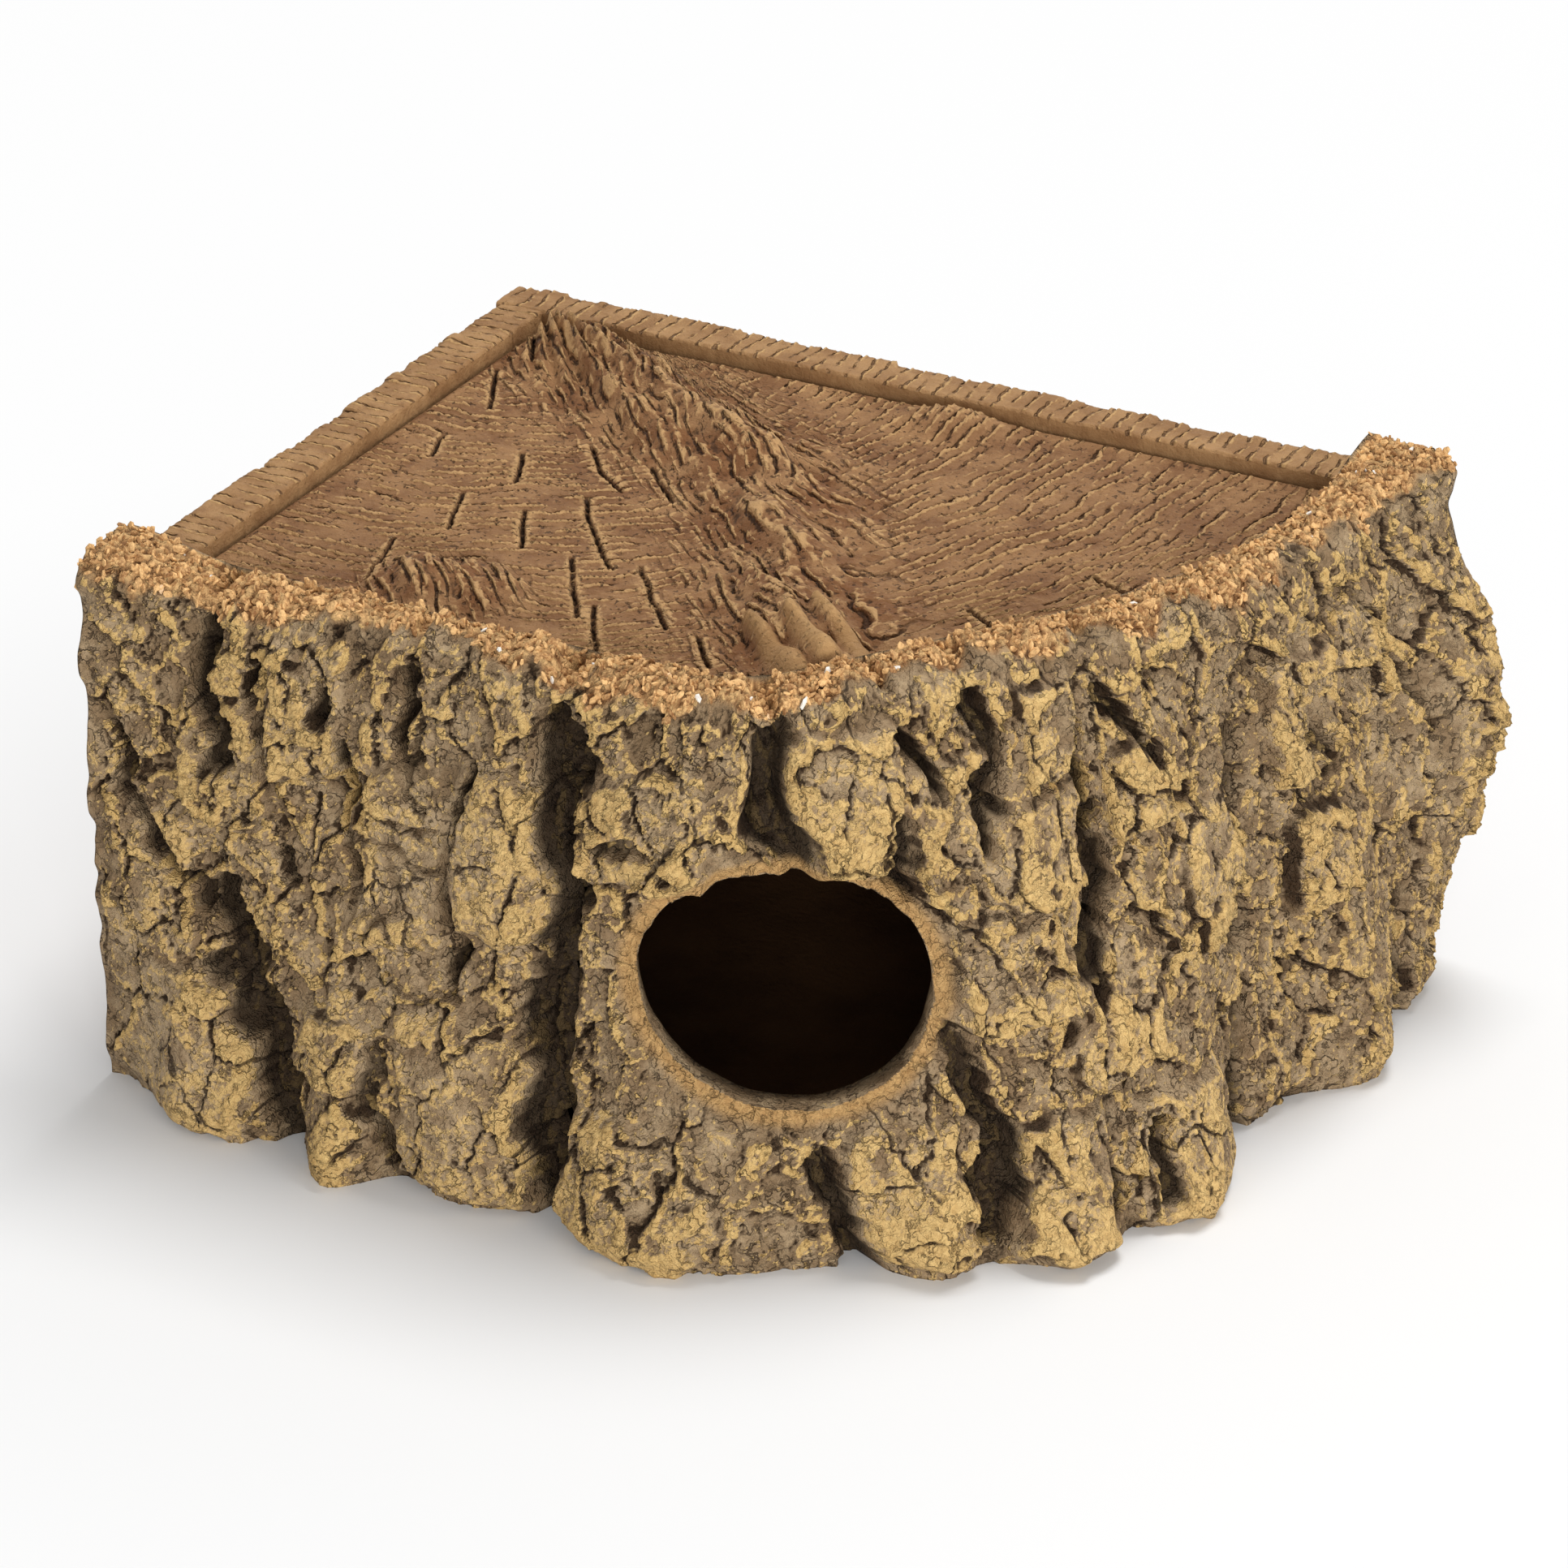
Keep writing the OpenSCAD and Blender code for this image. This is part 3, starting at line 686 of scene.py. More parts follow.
def bark_relief_tree():
    """Facets, flakes, cracks and raised nets over the bark."""
    g = GeometryGraph("bark relief", {
        "Facet relief": 3.2, "Flake width": 24.0, "Flake height": 32.0, "Flake step": 1.5, "Chip width": 4.2,
        "Chip height": 5.6, "Chip relief": 1.0, "Crack depth": 1.8, "Net relief": 0.5, "Crumb relief": 2.5,
        "Paint": None})
    chart = g.field("chart", "FLOAT_VECTOR")
    bent = bent_chart(g, chart)
    facets, seams = tilted_cells(g, g.vector("DIVIDE", bent, FACET_SIZE))
    chip_at = g.vector("DIVIDE", bent, g.joined(g.given("Chip width"), g.given("Chip height"), 1.0))
    chips, nicks = tilted_cells(g, chip_at)
    flake_at = g.vector("DIVIDE", chart, g.joined(g.given("Flake width"), g.given("Flake height"), 1.0))
    level = g.noise(flake_at, 1.0, 5.0, 0.55) * 7
    flakes = g.math("FLOOR", level) + g.rise(g.math("FRACT", level), 0.0, 0.16) - 3.5
    patchy = g.rise(g.noise(chart, 0.05, 2.0, 0.5), 0.42, 0.58)
    scaly = facets * g.given("Facet relief") + flakes * g.given("Flake step")
    scaly = scaly + chips * g.given("Chip relief") * patchy
    cracks = (seams * seam_breaks(g, chart) + nicks * 0.3 * patchy) * g.given("Crack depth")
    net = thin_lines(g, g.vector("DIVIDE", bent, NET_SIZE), 1.0, 0.055)
    grain = (g.noise(chart, 0.6, 4.0, 0.62) - 0.5) * (1.7 - 1.4 * g.field("slab"))
    crumbs = (g.noise(chart, 0.5, 4.0, 0.68) - 0.46) * 2 * g.given("Crumb relief")
    relief = (scaly - cracks + net * g.given("Net relief")) * g.field("calm") + grain
    relief = relief * g.field("bark") + crumbs * g.field("crumb")
    return carved(g, g.field("macro"), relief, g.field("push", "FLOAT_VECTOR"), 16, 350)


def seam_breaks(g, chart):
    """0 where the seams between facets are closed."""
    return g.rise(g.noise(chart, 0.1, 3.0, 0.6), 0.45, 0.55)


def thin_lines(g, place, scale, width):
    """A net of thin curling lines."""
    return 1 - g.rise(abs(g.noise(place, scale, 3.0, 0.55) - 0.5), 0.0, width)


def bent_chart(g, chart):
    """Chart of the bark with its lines bent out of true."""
    warp = g.vector("SUBTRACT", g.noise(chart, 0.1, 4.0, 0.6, 1), (0.5, 0.5, 0.5))
    return g.vector("ADD", chart, g.scaled(warp, 12.0))


def tilted_cells(g, place):
    """Flat cells, each with a random height and tilt, and the seams between them."""
    shade = g.cells(place, "Color")
    local = g.vector("SUBTRACT", place, g.cells(place, "Position"))
    tilt = g.axis(local, 0) * (g.axis(shade, 1) - 0.5) * 1.4 + g.axis(local, 1) * (g.axis(shade, 2) - 0.75)
    return (g.axis(shade, 0) - 0.5) * 0.9 + tilt, g.seams(place, 0.01, 0.05)


def entrance_plug():
    """Closed oval plug that cuts the entrance, slightly uneven round its edge."""
    around, along = 200, 12
    turn = np.linspace(0, 2 * math.pi, around, endpoint=False)
    uneven = 1 + 0.012 * waves(8 + np.cos(turn) * 6, 8 + np.sin(turn) * 6, 1.0, 21)
    x, y = np.cos(turn) * ENTRANCE_W / 2 * uneven, np.sin(turn) * ENTRANCE_H / 2 * uneven
    across = x * math.cos(ENTRANCE_LEAN) + y * math.sin(ENTRANCE_LEAN)
    up = y * math.cos(ENTRANCE_LEAN) - x * math.sin(ENTRANCE_LEAN)
    rings = []
    for reach in np.linspace(-ENTRANCE_W, ENTRANCE_W, along):
        xy = ENTRANCE_MOUTH + reach * ENTRANCE_AXIS + across[:, None] * ENTRANCE_SIDE
        rings.append(np.column_stack([xy, ENTRANCE_Z + up]))
    return plain_mesh("entrance_plug", np.concatenate(rings), tube_faces(along, around))


def with_entrance(piece, paint):
    """Cuts the entrance through a piece of bark."""
    plug = entrance_plug()
    plug.data.materials.append(paint)
    cut = piece.modifiers.new("entrance", "BOOLEAN")
    cut.operation = "DIFFERENCE"
    cut.solver = "MANIFOLD"
    cut.object = plug
    settled(piece)
    bpy.data.objects.remove(plug)
    return piece


def bark_pieces(paint, lip_paint):
    """The bark wall, in three lengths that meet at its deepest furrows."""
    tree = bark_relief_tree()
    outer_rows = OUTER_ROWS + ROUND_ROWS + RIM_ROWS
    pieces = []
    for name, start, end in zip(BARK_NAMES, BARK_CUTS, BARK_CUTS[1:]):
        points, fields, shape = bark_fields(bark_columns(start, end))
        fields = with_bare_cuts(fields, shape, start, end)
        if start == 0 or end == BARK_LENGTH:
            points, fields, shape = with_end_face(points, fields, shape, start == 0)
        piece = plain_mesh(name, points, tube_faces(*shape, outer_rows), fields)
        grown(piece, tree, {"Paint": paint})
        if start < ENTRANCE_AT < end:
            with_entrance(piece, lip_paint)
        pieces.append(piece)
    return pieces


# Crumbs along the bark's broken rim
CM2_IN_M2 = 10000
FULL_TURNS = (6.28, 6.28, 6.28)


def crumb_tree():
    """Angular chips of several sizes, scattered where the rim has crumbled."""
    g = GeometryGraph("rim crumbs", {"Crumbs per cm2": 50.0, "Chip length": 1.9, "Paint": None})
    thick = g.rise(g.field("crumb"), CRUMBS_FROM, 0.9) * g.given("Crumbs per cm2") * CM2_IN_M2
    points = g.node("GeometryNodeDistributePointsOnFaces", {"distribute_method": "RANDOM"},
                    {"Mesh": g.given("Geometry"), "Density": thick, "Seed": 7})
    half = g.given("Chip length") * MM * 0.5
    spin = g.node("FunctionNodeRandomValue", {"data_type": "FLOAT_VECTOR"},
                  {0: (0, 0, 0), 1: FULL_TURNS, "Seed": 11})
    size = g.chance(0.3, 1.4, 13)
    placed = g.node("GeometryNodeInstanceOnPoints", None, {
        "Points": points,
        "Instance": g.node("GeometryNodeMeshIcoSphere", None, {"Radius": half, "Subdivisions": 1}),
        "Rotation": g.node("FunctionNodeEulerToRotation", None, {0: spin}),
        "Scale": g.joined(size * 1.3, size * 0.8, size * 0.4)})
    shaded = g.node("GeometryNodeStoreNamedAttribute", {"data_type": "FLOAT", "domain": "INSTANCE"},
                    {"Geometry": placed, "Name": "shade", "Value": g.chance(0.0, 1.0, 17)})
    return g.done(shaded, g.given("Paint"))


def rim_crumbs(bark, tree, paint):
    """Loose chips on one length of the bark's rim."""
    piece = in_scene(bark.name.replace("bark", "crumbs"), bark.data.copy())
    return grown(piece, tree, {"Paint": paint})


# Lid
LID_RELIEF = 7.5
STRAND_RELIEF = 1.5
TOE_RELIEF = 3.6
TOE_HOLLOW = 2.2
STRAND_ANGLE = 9.0
STRAND_TWIST = 140.0
STRAND_HALF = 24.0
WALL_FADE = 8.0
RING_SPACING = 3.3
STRAND_SPACING = 2.3
CHECK_HALF = 0.6
EDGE_DROP = 0.8
LID_COLUMNS = 330
LID_ROWS = 270


def lid_edge(s):
    """Edge of the lid along the bark."""
    return inside_line(s) - LID_GAP * outward(s)


def lid_patch():
    """Plan of the lid's top as a grid stretched between its four sides."""
    turn = (FRONT_RUN + CORNER_END) / 2
    first = WALL_T + LID_GAP
    u, v = np.linspace(0, 1, LID_COLUMNS)[:, None, None], np.linspace(0, 1, LID_ROWS)[None, :, None]
    front = lid_edge(first + (turn - first) * u[..., 0])
    flank = lid_edge(BARK_LENGTH - first + (turn - BARK_LENGTH + first) * v[..., 0])
    corner = np.array([first, -first])
    back = corner + u * (flank[:, :1] - corner)
    side = corner + v * (front[:1] - corner)
    tip = front[-1, 0]
    flat = ((1 - u) * (1 - v) * corner + u * (1 - v) * flank[0, 0] + (1 - u) * v * front[0, 0] + u * v * tip)
    return (1 - v) * back + v * front + (1 - u) * side + u * flank - flat


def wall_fade(x, y):
    """0 at the back walls and 1 a little way from them."""
    return smooth(x / WALL_FADE) * smooth(y / WALL_FADE)


def oval(x, y, patch):
    """1 at the middle of an oval patch of the lid and 0 round it."""
    middle_x, middle_y, half_x, half_y = patch
    return bump(np.hypot((x - middle_x) / half_x, (y - middle_y) / half_y))


def lid_height(x, y):
    """Relief of the ridge and knots on the lid, from 0 to 1."""
    ridges = [share * bump(run_gap(x, y, run) / half) for half, share, run in RIDGES]
    knots = [share * oval(x, y, patch) for *patch, share in KNOTS]
    return np.max(ridges + knots, 0) * wall_fade(x, y)


def strand_place(x, y, turn):
    """Place along and across the ridge's strands, which fan out towards the long wall."""
    along, across = (x + y) / math.sqrt(2), (x - y) / math.sqrt(2)
    fanned = smooth((x - y - 10) / 45)
    across = across * (1 - fanned) + 85 * (math.pi / 4 - turn) * fanned
    return np.stack([along, across, 0 * x], -1)


def open_checks(x, y):
    """1 along the checks, which are a little ragged."""
    rag_x, rag_y = x + 0.5 * waves(x, y, 6, 33), y + 0.5 * waves(x, y, 6, 34)
    return np.max([1 - smooth(run_gap(rag_x, rag_y, run) / CHECK_HALF) for run in CHECKS], 0)


def root_toes(x, y):
    """1 along the root's toes, which widen towards the front."""
    half = 2.2 + 3.2 * smooth((x + y - 228) / 40)
    return np.max([bump(run_gap(x, y, run) / half) for run in TOES], 0)


def lid_fields(plan, edge):
    """Heights in mm and the fields that the rings and the paint read."""
    x, y = plan[..., 0] - WALL_T - LID_GAP, -plan[..., 1] - WALL_T - LID_GAP
    radius, turn = np.hypot(x, y), np.arctan2(y, x)
    root = lid_height(x + 1.5 * waves(x, y, 9, 31), y + 1.5 * waves(x, y, 9, 32))
    knot, toe = oval(x, y, GRAIN_KNOT), root_toes(x, y)
    gap = np.min([run_gap(x, y, run) for _, _, run in RIDGES], 0)
    strand = np.maximum(smooth((1 - gap / 34) * 1.4), smooth(2 * knot))
    fan = np.maximum(bump(gap / STRAND_HALF), knot)
    strands = fan * np.cos(2 * math.pi * (np.degrees(turn) / STRAND_ANGLE + radius / STRAND_TWIST))
    height = LID_TOP + LID_RELIEF * root + STRAND_RELIEF * strands * wall_fade(x, y)
    height = height + TOE_RELIEF * toe - TOE_HOLLOW * smooth(2 * oval(x, y, HEEL))
    height = height - EDGE_DROP * (1 - smooth(edge / 1.4))
    fields = {
        "chart": np.stack([x, y, 0 * x], -1),
        "macro": height,
        "strand_at": strand_place(x, y, turn),
        "strand": strand * (1 - toe),
        "check": open_checks(x, y),
        "lip": toe,
        "edge": smooth(edge / 3),
    }
    return height, by_point(fields)


def lid_tree():
    """Growth rings round the lid's back corner, strands on its ridge, and the checks."""
    g = GeometryGraph("lid relief", {
        "Ring relief": 0.6, "Groove depth": 0.7, "Rough relief": 1.5, "Strand relief": 4.0, "Slit depth": 0.7,
        "Check depth": 2.8, "Paint": None})
    chart = g.field("chart", "FLOAT_VECTOR")
    grooves, crests = ring_lines(g, chart)
    rough = (g.noise(chart, 0.5, 4.0, 0.66) - 0.5) * g.given("Rough relief")
    rings = crests * g.given("Ring relief") - grooves * g.given("Groove depth") + rough
    place = g.field("strand_at", "FLOAT_VECTOR")
    slits, edges = strand_lines(g, place, chart)
    lenses = g.noise(g.joined(g.axis(place, 0) / 14, g.axis(place, 1) / 4), 1.0, 3.0, 0.55) - 0.5
    knobs = g.noise(chart, 0.1, 3.0, 0.6) - 0.5
    strands = (lenses + knobs) * g.given("Strand relief") + edges * 0.4
    strands = strands - slits * g.given("Slit depth") + rough
    share = g.field("strand")
    relief = (rings * (1 - share) + strands * share) * (1 - g.field("lip") * 0.8)
    relief = (relief - g.field("check") * g.given("Check depth")) * g.field("edge")
    return carved(g, g.field("macro"), relief, g.joined(0.0, 0.0, g.field("top")), 10, 160)


def cut_lines(g, level, width):
    """Thin cuts where a level passes its middle, and the raised edges beside them."""
    cuts = 1 - g.rise(abs(level - 0.5), width * 0.4, width)
    edge_end = 1 - g.rise(level, 0.5 + width * 2, 0.5 + width * 3.5)
    return cuts, g.rise(level, 0.5 + width, 0.5 + width * 1.6) * edge_end


def ring_lines(g, chart):
    """Grooves and crests of the growth rings, broken into short runs."""
    drift = (g.noise(chart, 0.03, 2.0, 0.5) - 0.5) * 14 + (g.noise(chart, 0.16, 4.0, 0.62) - 0.5) * 3.4
    reach = g.length(chart) + drift
    turn = g.math("ARCTAN2", g.axis(chart, 1), g.axis(chart, 0))
    broken = g.rise(g.noise(g.joined(turn * 9.0, reach / 5.0), 1.0, 4.0, 0.6), 0.42, 0.54)
    grooves, crests = cut_lines(g, g.math("FRACT", reach / RING_SPACING), 0.12)
    return grooves * broken, crests * broken


def strand_lines(g, place, chart):
    """Short slits between the twisted strands and the edges beside them."""
    along, across = g.axis(place, 0), g.axis(place, 1)
    warp = (g.noise(chart, 0.05, 2.0, 0.5) - 0.5) * 9 + (g.noise(chart, 0.3, 3.0, 0.6) - 0.5) * 1.0
    broken = g.rise(g.noise(g.joined(along / 7, (across + warp) / 2), 1.0, 3.0, 0.6), 0.47, 0.55)
    slits, edges = cut_lines(g, g.math("FRACT", (across + warp) / STRAND_SPACING), 0.14)
    return slits * broken, edges * broken


def carved(g, macro, relief, push, near, far):
    """Moves the points by the relief along push, and keeps the lifts that the paint follows."""
    held = g.stored(g.stored(g.given("Geometry"), "height", macro + relief), "relief", relief)
    offset = g.scaled(push, g.field("relief") * MM)
    moved = g.node("GeometryNodeSetPosition", None, {"Geometry": held, "Offset": offset})
    return g.done(lifted(g, moved, near, far), g.given("Paint"))


def lifted(g, geometry, near, far):
    """Stores how far each point stands above its near surroundings in relief, and its wide ones in height."""
    for name, source, rounds in (("lift", "relief", near), ("swell", "height", far)):
        height = g.field(source)
        blurred = g.node("GeometryNodeBlurAttribute", {"data_type": "FLOAT"},
                         {"Value": height, "Iterations": rounds})
        geometry = g.stored(geometry, name, height - blurred)
    return geometry


def grid_rim(nu, nv):
    """Numbers of a grid's rim points, in order round it."""
    rim = [(i, 0) for i in range(nu)] + [(nu - 1, j) for j in range(1, nv)]
    rim += [(i, nv - 1) for i in range(nu - 2, -1, -1)] + [(0, j) for j in range(nv - 2, 0, -1)]
    return np.array([i * nv + j for i, j in rim])


def lid_faces(nu, nv, at):
    """Faces of the top grid, of the skirt below its rim and of the underside."""
    i, j = np.meshgrid(np.arange(nu - 1), np.arange(nv - 1), indexing="ij")
    a = (i * nv + j).ravel()
    top = np.stack([a, a + 1, a + nv + 1, a + nv], -1).tolist()
    low = np.arange(len(at)) + nu * nv
    skirt = np.stack([at, np.roll(at, -1), np.roll(low, -1), low], -1).tolist()
    return top + skirt + [low.tolist()]


def lid_piece(paint):
    """The lid: top grid, skirt round the edge and plain underside."""
    plan = lid_patch()
    at = grid_rim(*plan.shape[:2])
    flat = plan.reshape(-1, 2)
    outline = [tuple(p) for p in flat[at[::6]]] + [tuple(flat[at[0]])]
    height, fields = lid_fields(plan, run_gap(plan[..., 0], plan[..., 1], outline))
    top = np.column_stack([flat, height.ravel()])
    under = np.column_stack([flat[at], np.full(len(at), LID_BOTTOM)])
    fields["top"] = np.ones(len(top))
    fields = {name: np.concatenate([v, np.zeros((len(under),) + v.shape[1:])]) for name, v in fields.items()}
    fields["macro"][len(top):] = height.ravel()[at]
    piece = plain_mesh("stump_lid", np.concatenate([top, under]), lid_faces(*plan.shape[:2], at), fields)
    return crisp(grown(piece, lid_tree(), {"Paint": paint}))


# Planks: the two straight back walls
PLANK_ROUND = 1.8
PLANK_BEVEL = 0.7
PLANK_STEP = 0.6
SAW_SPACING = 3.6
CHART_SHIFT = 400.0


def plank_profile():
    """Ring of points round a back wall: depth from its back face, height, push back, push up."""
    rows = [(0.0, z, 1.0, 0.0) for z in np.linspace(0, WALL_HEIGHT - PLANK_ROUND, 90)]
    for turn in np.linspace(0, math.pi / 2, 7)[1:]:
        rows.append((PLANK_ROUND * (1 - math.cos(turn)), WALL_HEIGHT - PLANK_ROUND * (1 - math.sin(turn)),
                     math.cos(turn), math.sin(turn)))
    flat_end = WALL_T - PLANK_BEVEL
    rows += [(d, WALL_HEIGHT, 0.0, 1.0) for d in np.linspace(PLANK_ROUND, flat_end, 16)[1:]]
    rows += [(flat_end + PLANK_BEVEL * t, WALL_HEIGHT - PLANK_BEVEL * t ** 2, 0.0, 1 - t ** 3)
             for t in np.linspace(0, 1, 8)[1:]]
    rows += [(WALL_T, z, 0.0, 0.0) for z in np.linspace(WALL_HEIGHT - PLANK_BEVEL, 0, 12)[1:]]
    rows += [(WALL_T * t, 0.0, 0.0, 0.0) for t in (0.7, 0.3)]
    return np.array(rows)


def plank_tree():
    """Rough-sawn cross ribs over a plank's top edge and back, with a chipped outer edge."""
    g = GeometryGraph("plank ribs", {
        "Chip spacing": 8.0, "Chip relief": 1.1, "Saw relief": 0.25, "Saw depth": 0.45, "Rough relief": 0.9,
        "Paint": None})
    chart = g.field("chart", "FLOAT_VECTOR")
    x, y = g.axis(chart, 0), g.axis(chart, 1)
    chips = g.axis(g.cells(g.joined(x / g.given("Chip spacing"), y / 30)), 0) - 0.6
    cuts, edges = saw_lines(g, chart)
    rough = (g.noise(chart, 0.5, 4.0, 0.65) - 0.5) * g.given("Rough relief")
    sawn = edges * g.given("Saw relief") - cuts * g.given("Saw depth") + rough
    relief = sawn * g.field("sawn") + chips * g.given("Chip relief") * g.field("outer")
    return carved(g, 0.0, relief, g.field("push", "FLOAT_VECTOR"), 10, 60)


def saw_lines(g, chart):
    """Cross cuts left by the saw and the edges beside them, broken here and there."""
    warp = (g.noise(chart, 0.1, 3.0, 0.6) - 0.5) * 5
    broken = g.rise(g.noise(chart, 0.22, 3.0, 0.6), 0.4, 0.52)
    cuts, edges = cut_lines(g, g.math("FRACT", (g.axis(chart, 0) + warp) / SAW_SPACING), 0.11)
    return cuts * broken, edges * broken


def plank_piece(name, start, way, back, length, tree, paint):
    """One back wall: starts at a point, runs one way, with its back face the other way."""
    rows = plank_profile()
    columns = int(length / PLANK_STEP)
    depth, z, out, up = (np.broadcast_to(rows[:, k], (columns, len(rows))) for k in range(4))
    along = np.broadcast_to(np.linspace(0, length, columns)[:, None], depth.shape)
    start, way, back = np.array(start), np.array(way), np.array(back)
    xy = start + along[..., None] * way - depth[..., None] * back
    travel = np.concatenate([[0], np.cumsum(np.hypot(np.diff(rows[:, 0]), np.diff(rows[:, 1])))])
    across = np.broadcast_to(travel, depth.shape)
    fields = by_point({
        "chart": np.stack([along + CHART_SHIFT * back[0], across, 0 * depth], -1),
        "push": np.concatenate([out[..., None] * back, up[..., None]], -1),
        "sawn": (out + up > 0) * (0.4 + 0.6 * smooth((z - WALL_HEIGHT + 26) / 22)),
        "inner": (out + up == 0) * (z < BROWN_TOP) * (along > 0) * 1.0,
        "outer": (out + up > 0) * (1 - 0.8 * smooth((depth - PLANK_ROUND) / 4)),
    })
    points = np.concatenate([xy, z[..., None]], -1).reshape(-1, 3)
    faces = tube_faces(columns, len(rows))
    if np.cross(way, back) < 0:
        faces = [face[::-1] for face in faces]
    return crisp(grown(plain_mesh(name, points, faces, fields), tree, {"Paint": paint}))


# Paint
def painted(name, build):
    """A material whose build function gives the shader's socket values."""
    material = bpy.data.materials.new(name)
    material.use_nodes = True
    shader = material.node_tree.nodes["Principled BSDF"]
    shader.inputs["Specular IOR Level"].default_value = 0.2
    g = Graph(material.node_tree)
    g.feed(shader, build(g))
    return material


def attribute(g, name, out=2):
    """A field that the mesh carries, as a number, or as a vector from output 1."""
    return g.node("ShaderNodeAttribute", {"attribute_name": name}, None, out)


def object_place(g):
    return g.node("ShaderNodeTexCoord", None, None, 3)


def place_mm(g):
    return g.scaled(object_place(g), 1 / MM)


def bumped(g, height, distance):
    """Fine relief by shading alone, up to a distance in metres."""
    return g.node("ShaderNodeBump", None, {"Height": height, "Distance": distance, "Strength": 1.0})


def linear(shown):
    """A screen value from 0 to 255 as the linear share that shaders take."""
    c = shown / 255
    return c / 12.92 if c <= 0.04045 else ((c + 0.055) / 1.055) ** 2.4


def rgb(r, g, b):
    """A colour given as it shows on screen."""
    return (linear(r), linear(g), linear(b), 1.0)


INNER_BROWN = rgb(84, 58, 36)


def bark_cracks(g, place, chart):
    """Hair cracks, stronger in patches, and the seams between facets."""
    patches = g.rise(g.noise(place, 0.2, 3.0, 0.6), 0.4, 0.6) + 0.25
    hair = thin_lines(g, g.scaled(place, -1.0), 0.3, 0.035) * patches
    facet_at = g.vector("DIVIDE", bent_chart(g, chart), FACET_SIZE)
    return hair, g.seams(facet_at, 0.012, 0.035) * seam_breaks(g, chart)


def bark_paint(g):
    """Grey-brown bark with ochre brushed on what stands out, and dark brown in what lies deep, partly a dark
    wash and partly painted shade.
    """
    place, chart = place_mm(g), attribute(g, "chart", 1)
    lift, swell, slab = (attribute(g, name) for name in ("lift", "swell", "slab"))
    blotch, fine = g.noise(place, 0.13, 5.0, 0.64), g.noise(place, 0.7, 5.0, 0.68)
    net = thin_lines(g, place, 0.42, 0.07)
    hair, seams = bark_cracks(g, place, chart)
    base = g.mix(g.rise(blotch + slab * 0.1, 0.38, 0.7), rgb(140, 115, 85), rgb(182, 157, 123))
    base = g.mix(g.rise(fine, 0.45, 0.7) * 0.3, base, rgb(106, 83, 56))
    edges = g.rise(lift + net * 0.14 + (fine - 0.5) * 0.6, 0.24, 0.4)
    proud = swell * 0.2 + lift * 0.4 + net * 0.25 + slab * 0.25
    faces = g.rise(proud + (blotch - 0.5) * 2.2 + (fine - 0.5) * 1.5, 0.42, 0.78)
    ochre = g.mix(g.rise(fine, 0.3, 0.7), rgb(204, 164, 98), rgb(236, 199, 130))
    colour = g.mix(g.most(edges * 0.85, faces * 0.8), base, ochre)
    # Painted shade together with the dark wash: darker where the relief lies below its near surroundings. The
    # crack lines join it as their own dark lines.
    recess = g.rise(0 - lift - (fine - 0.5) * 0.3, 0.2, 0.7)
    lines = g.most(seams * 0.8, hair * (0.55 - 0.25 * slab))
    colour = g.mix(g.most(recess * 0.92, lines), colour, rgb(52, 34, 18))
    # Painted shade together with the dark wash: dark brown down the furrows and over the broad hollows.
    deep = g.rise(attribute(g, "furrow") - lift, 1.4, 5.5)
    hollow_wash_and_shade = g.rise(0 - swell - (blotch - 0.5) * 4, 1.0, 5.0)
    colour = g.mix(g.most(deep * 0.9, hollow_wash_and_shade * 0.7), colour, rgb(40, 27, 15))
    lip = g.mix(g.rise(fine, 0.3, 0.7), rgb(176, 136, 86), rgb(204, 164, 108))
    colour = g.mix(g.rise(attribute(g, "lip"), 0.35, 0.8), colour, lip)
    crumbs = g.mix(g.rise(lift + (fine - 0.5) * 0.8, -0.5, 0.6), rgb(140, 98, 60), rgb(226, 182, 124))
    colour = g.mix(attribute(g, "crumb"), colour, crumbs)
    colour = g.mix(attribute(g, "inner"), colour, INNER_BROWN)
    return {"Base Color": colour, "Roughness": g.rise(fine, 0.0, 1.0) * 0.2 + 0.6,
            "Normal": bumped(g, fine + net * 0.25 - hair * 0.7 - seams, 0.0011)}


def lip_paint(g):
    """Tan wall of the entrance."""
    fine = g.noise(place_mm(g), 0.9, 4.0, 0.65)
    colour = g.mix(g.rise(fine, 0.3, 0.7), rgb(170, 131, 82), rgb(198, 160, 106))
    return {"Base Color": colour, "Roughness": 0.7, "Normal": bumped(g, fine, 0.0006)}


def plank_paint(g):
    """Tan planks, pale on the ribs, dark in the saw cuts, and darker in their low spots as painted shade."""
    place, lift = place_mm(g), attribute(g, "lift")
    blotch, fine = g.noise(place, 0.12, 4.0, 0.6), g.noise(place, 1.0, 4.0, 0.65)
    cuts, edges = (line * attribute(g, "sawn") for line in saw_lines(g, attribute(g, "chart", 1)))
    base = g.mix(g.rise(blotch, 0.35, 0.65), rgb(140, 103, 66), rgb(166, 128, 86))
    pale = g.rise(lift + edges * 0.3 + (fine - 0.5) * 0.8, 0.12, 0.5)
    colour = g.mix(pale * 0.7, base, rgb(196, 158, 106))
    # Painted shade: darker where the surface lies below its near surroundings. The saw cuts add their own
    # dark lines.
    dark = g.rise(0 - lift - (fine - 0.5) * 0.5, 0.14, 0.55)
    shade_and_dark_marks = g.most(dark * 0.85, cuts * g.rise(fine, 0.35, 0.55) * 0.8)
    colour = g.mix(shade_and_dark_marks, colour, rgb(80, 53, 30))
    colour = g.mix(attribute(g, "inner"), colour, INNER_BROWN)
    return {"Base Color": colour, "Roughness": 0.66,
            "Normal": bumped(g, fine * 0.6 + edges * 0.3 - cuts * 0.6, 0.0009)}


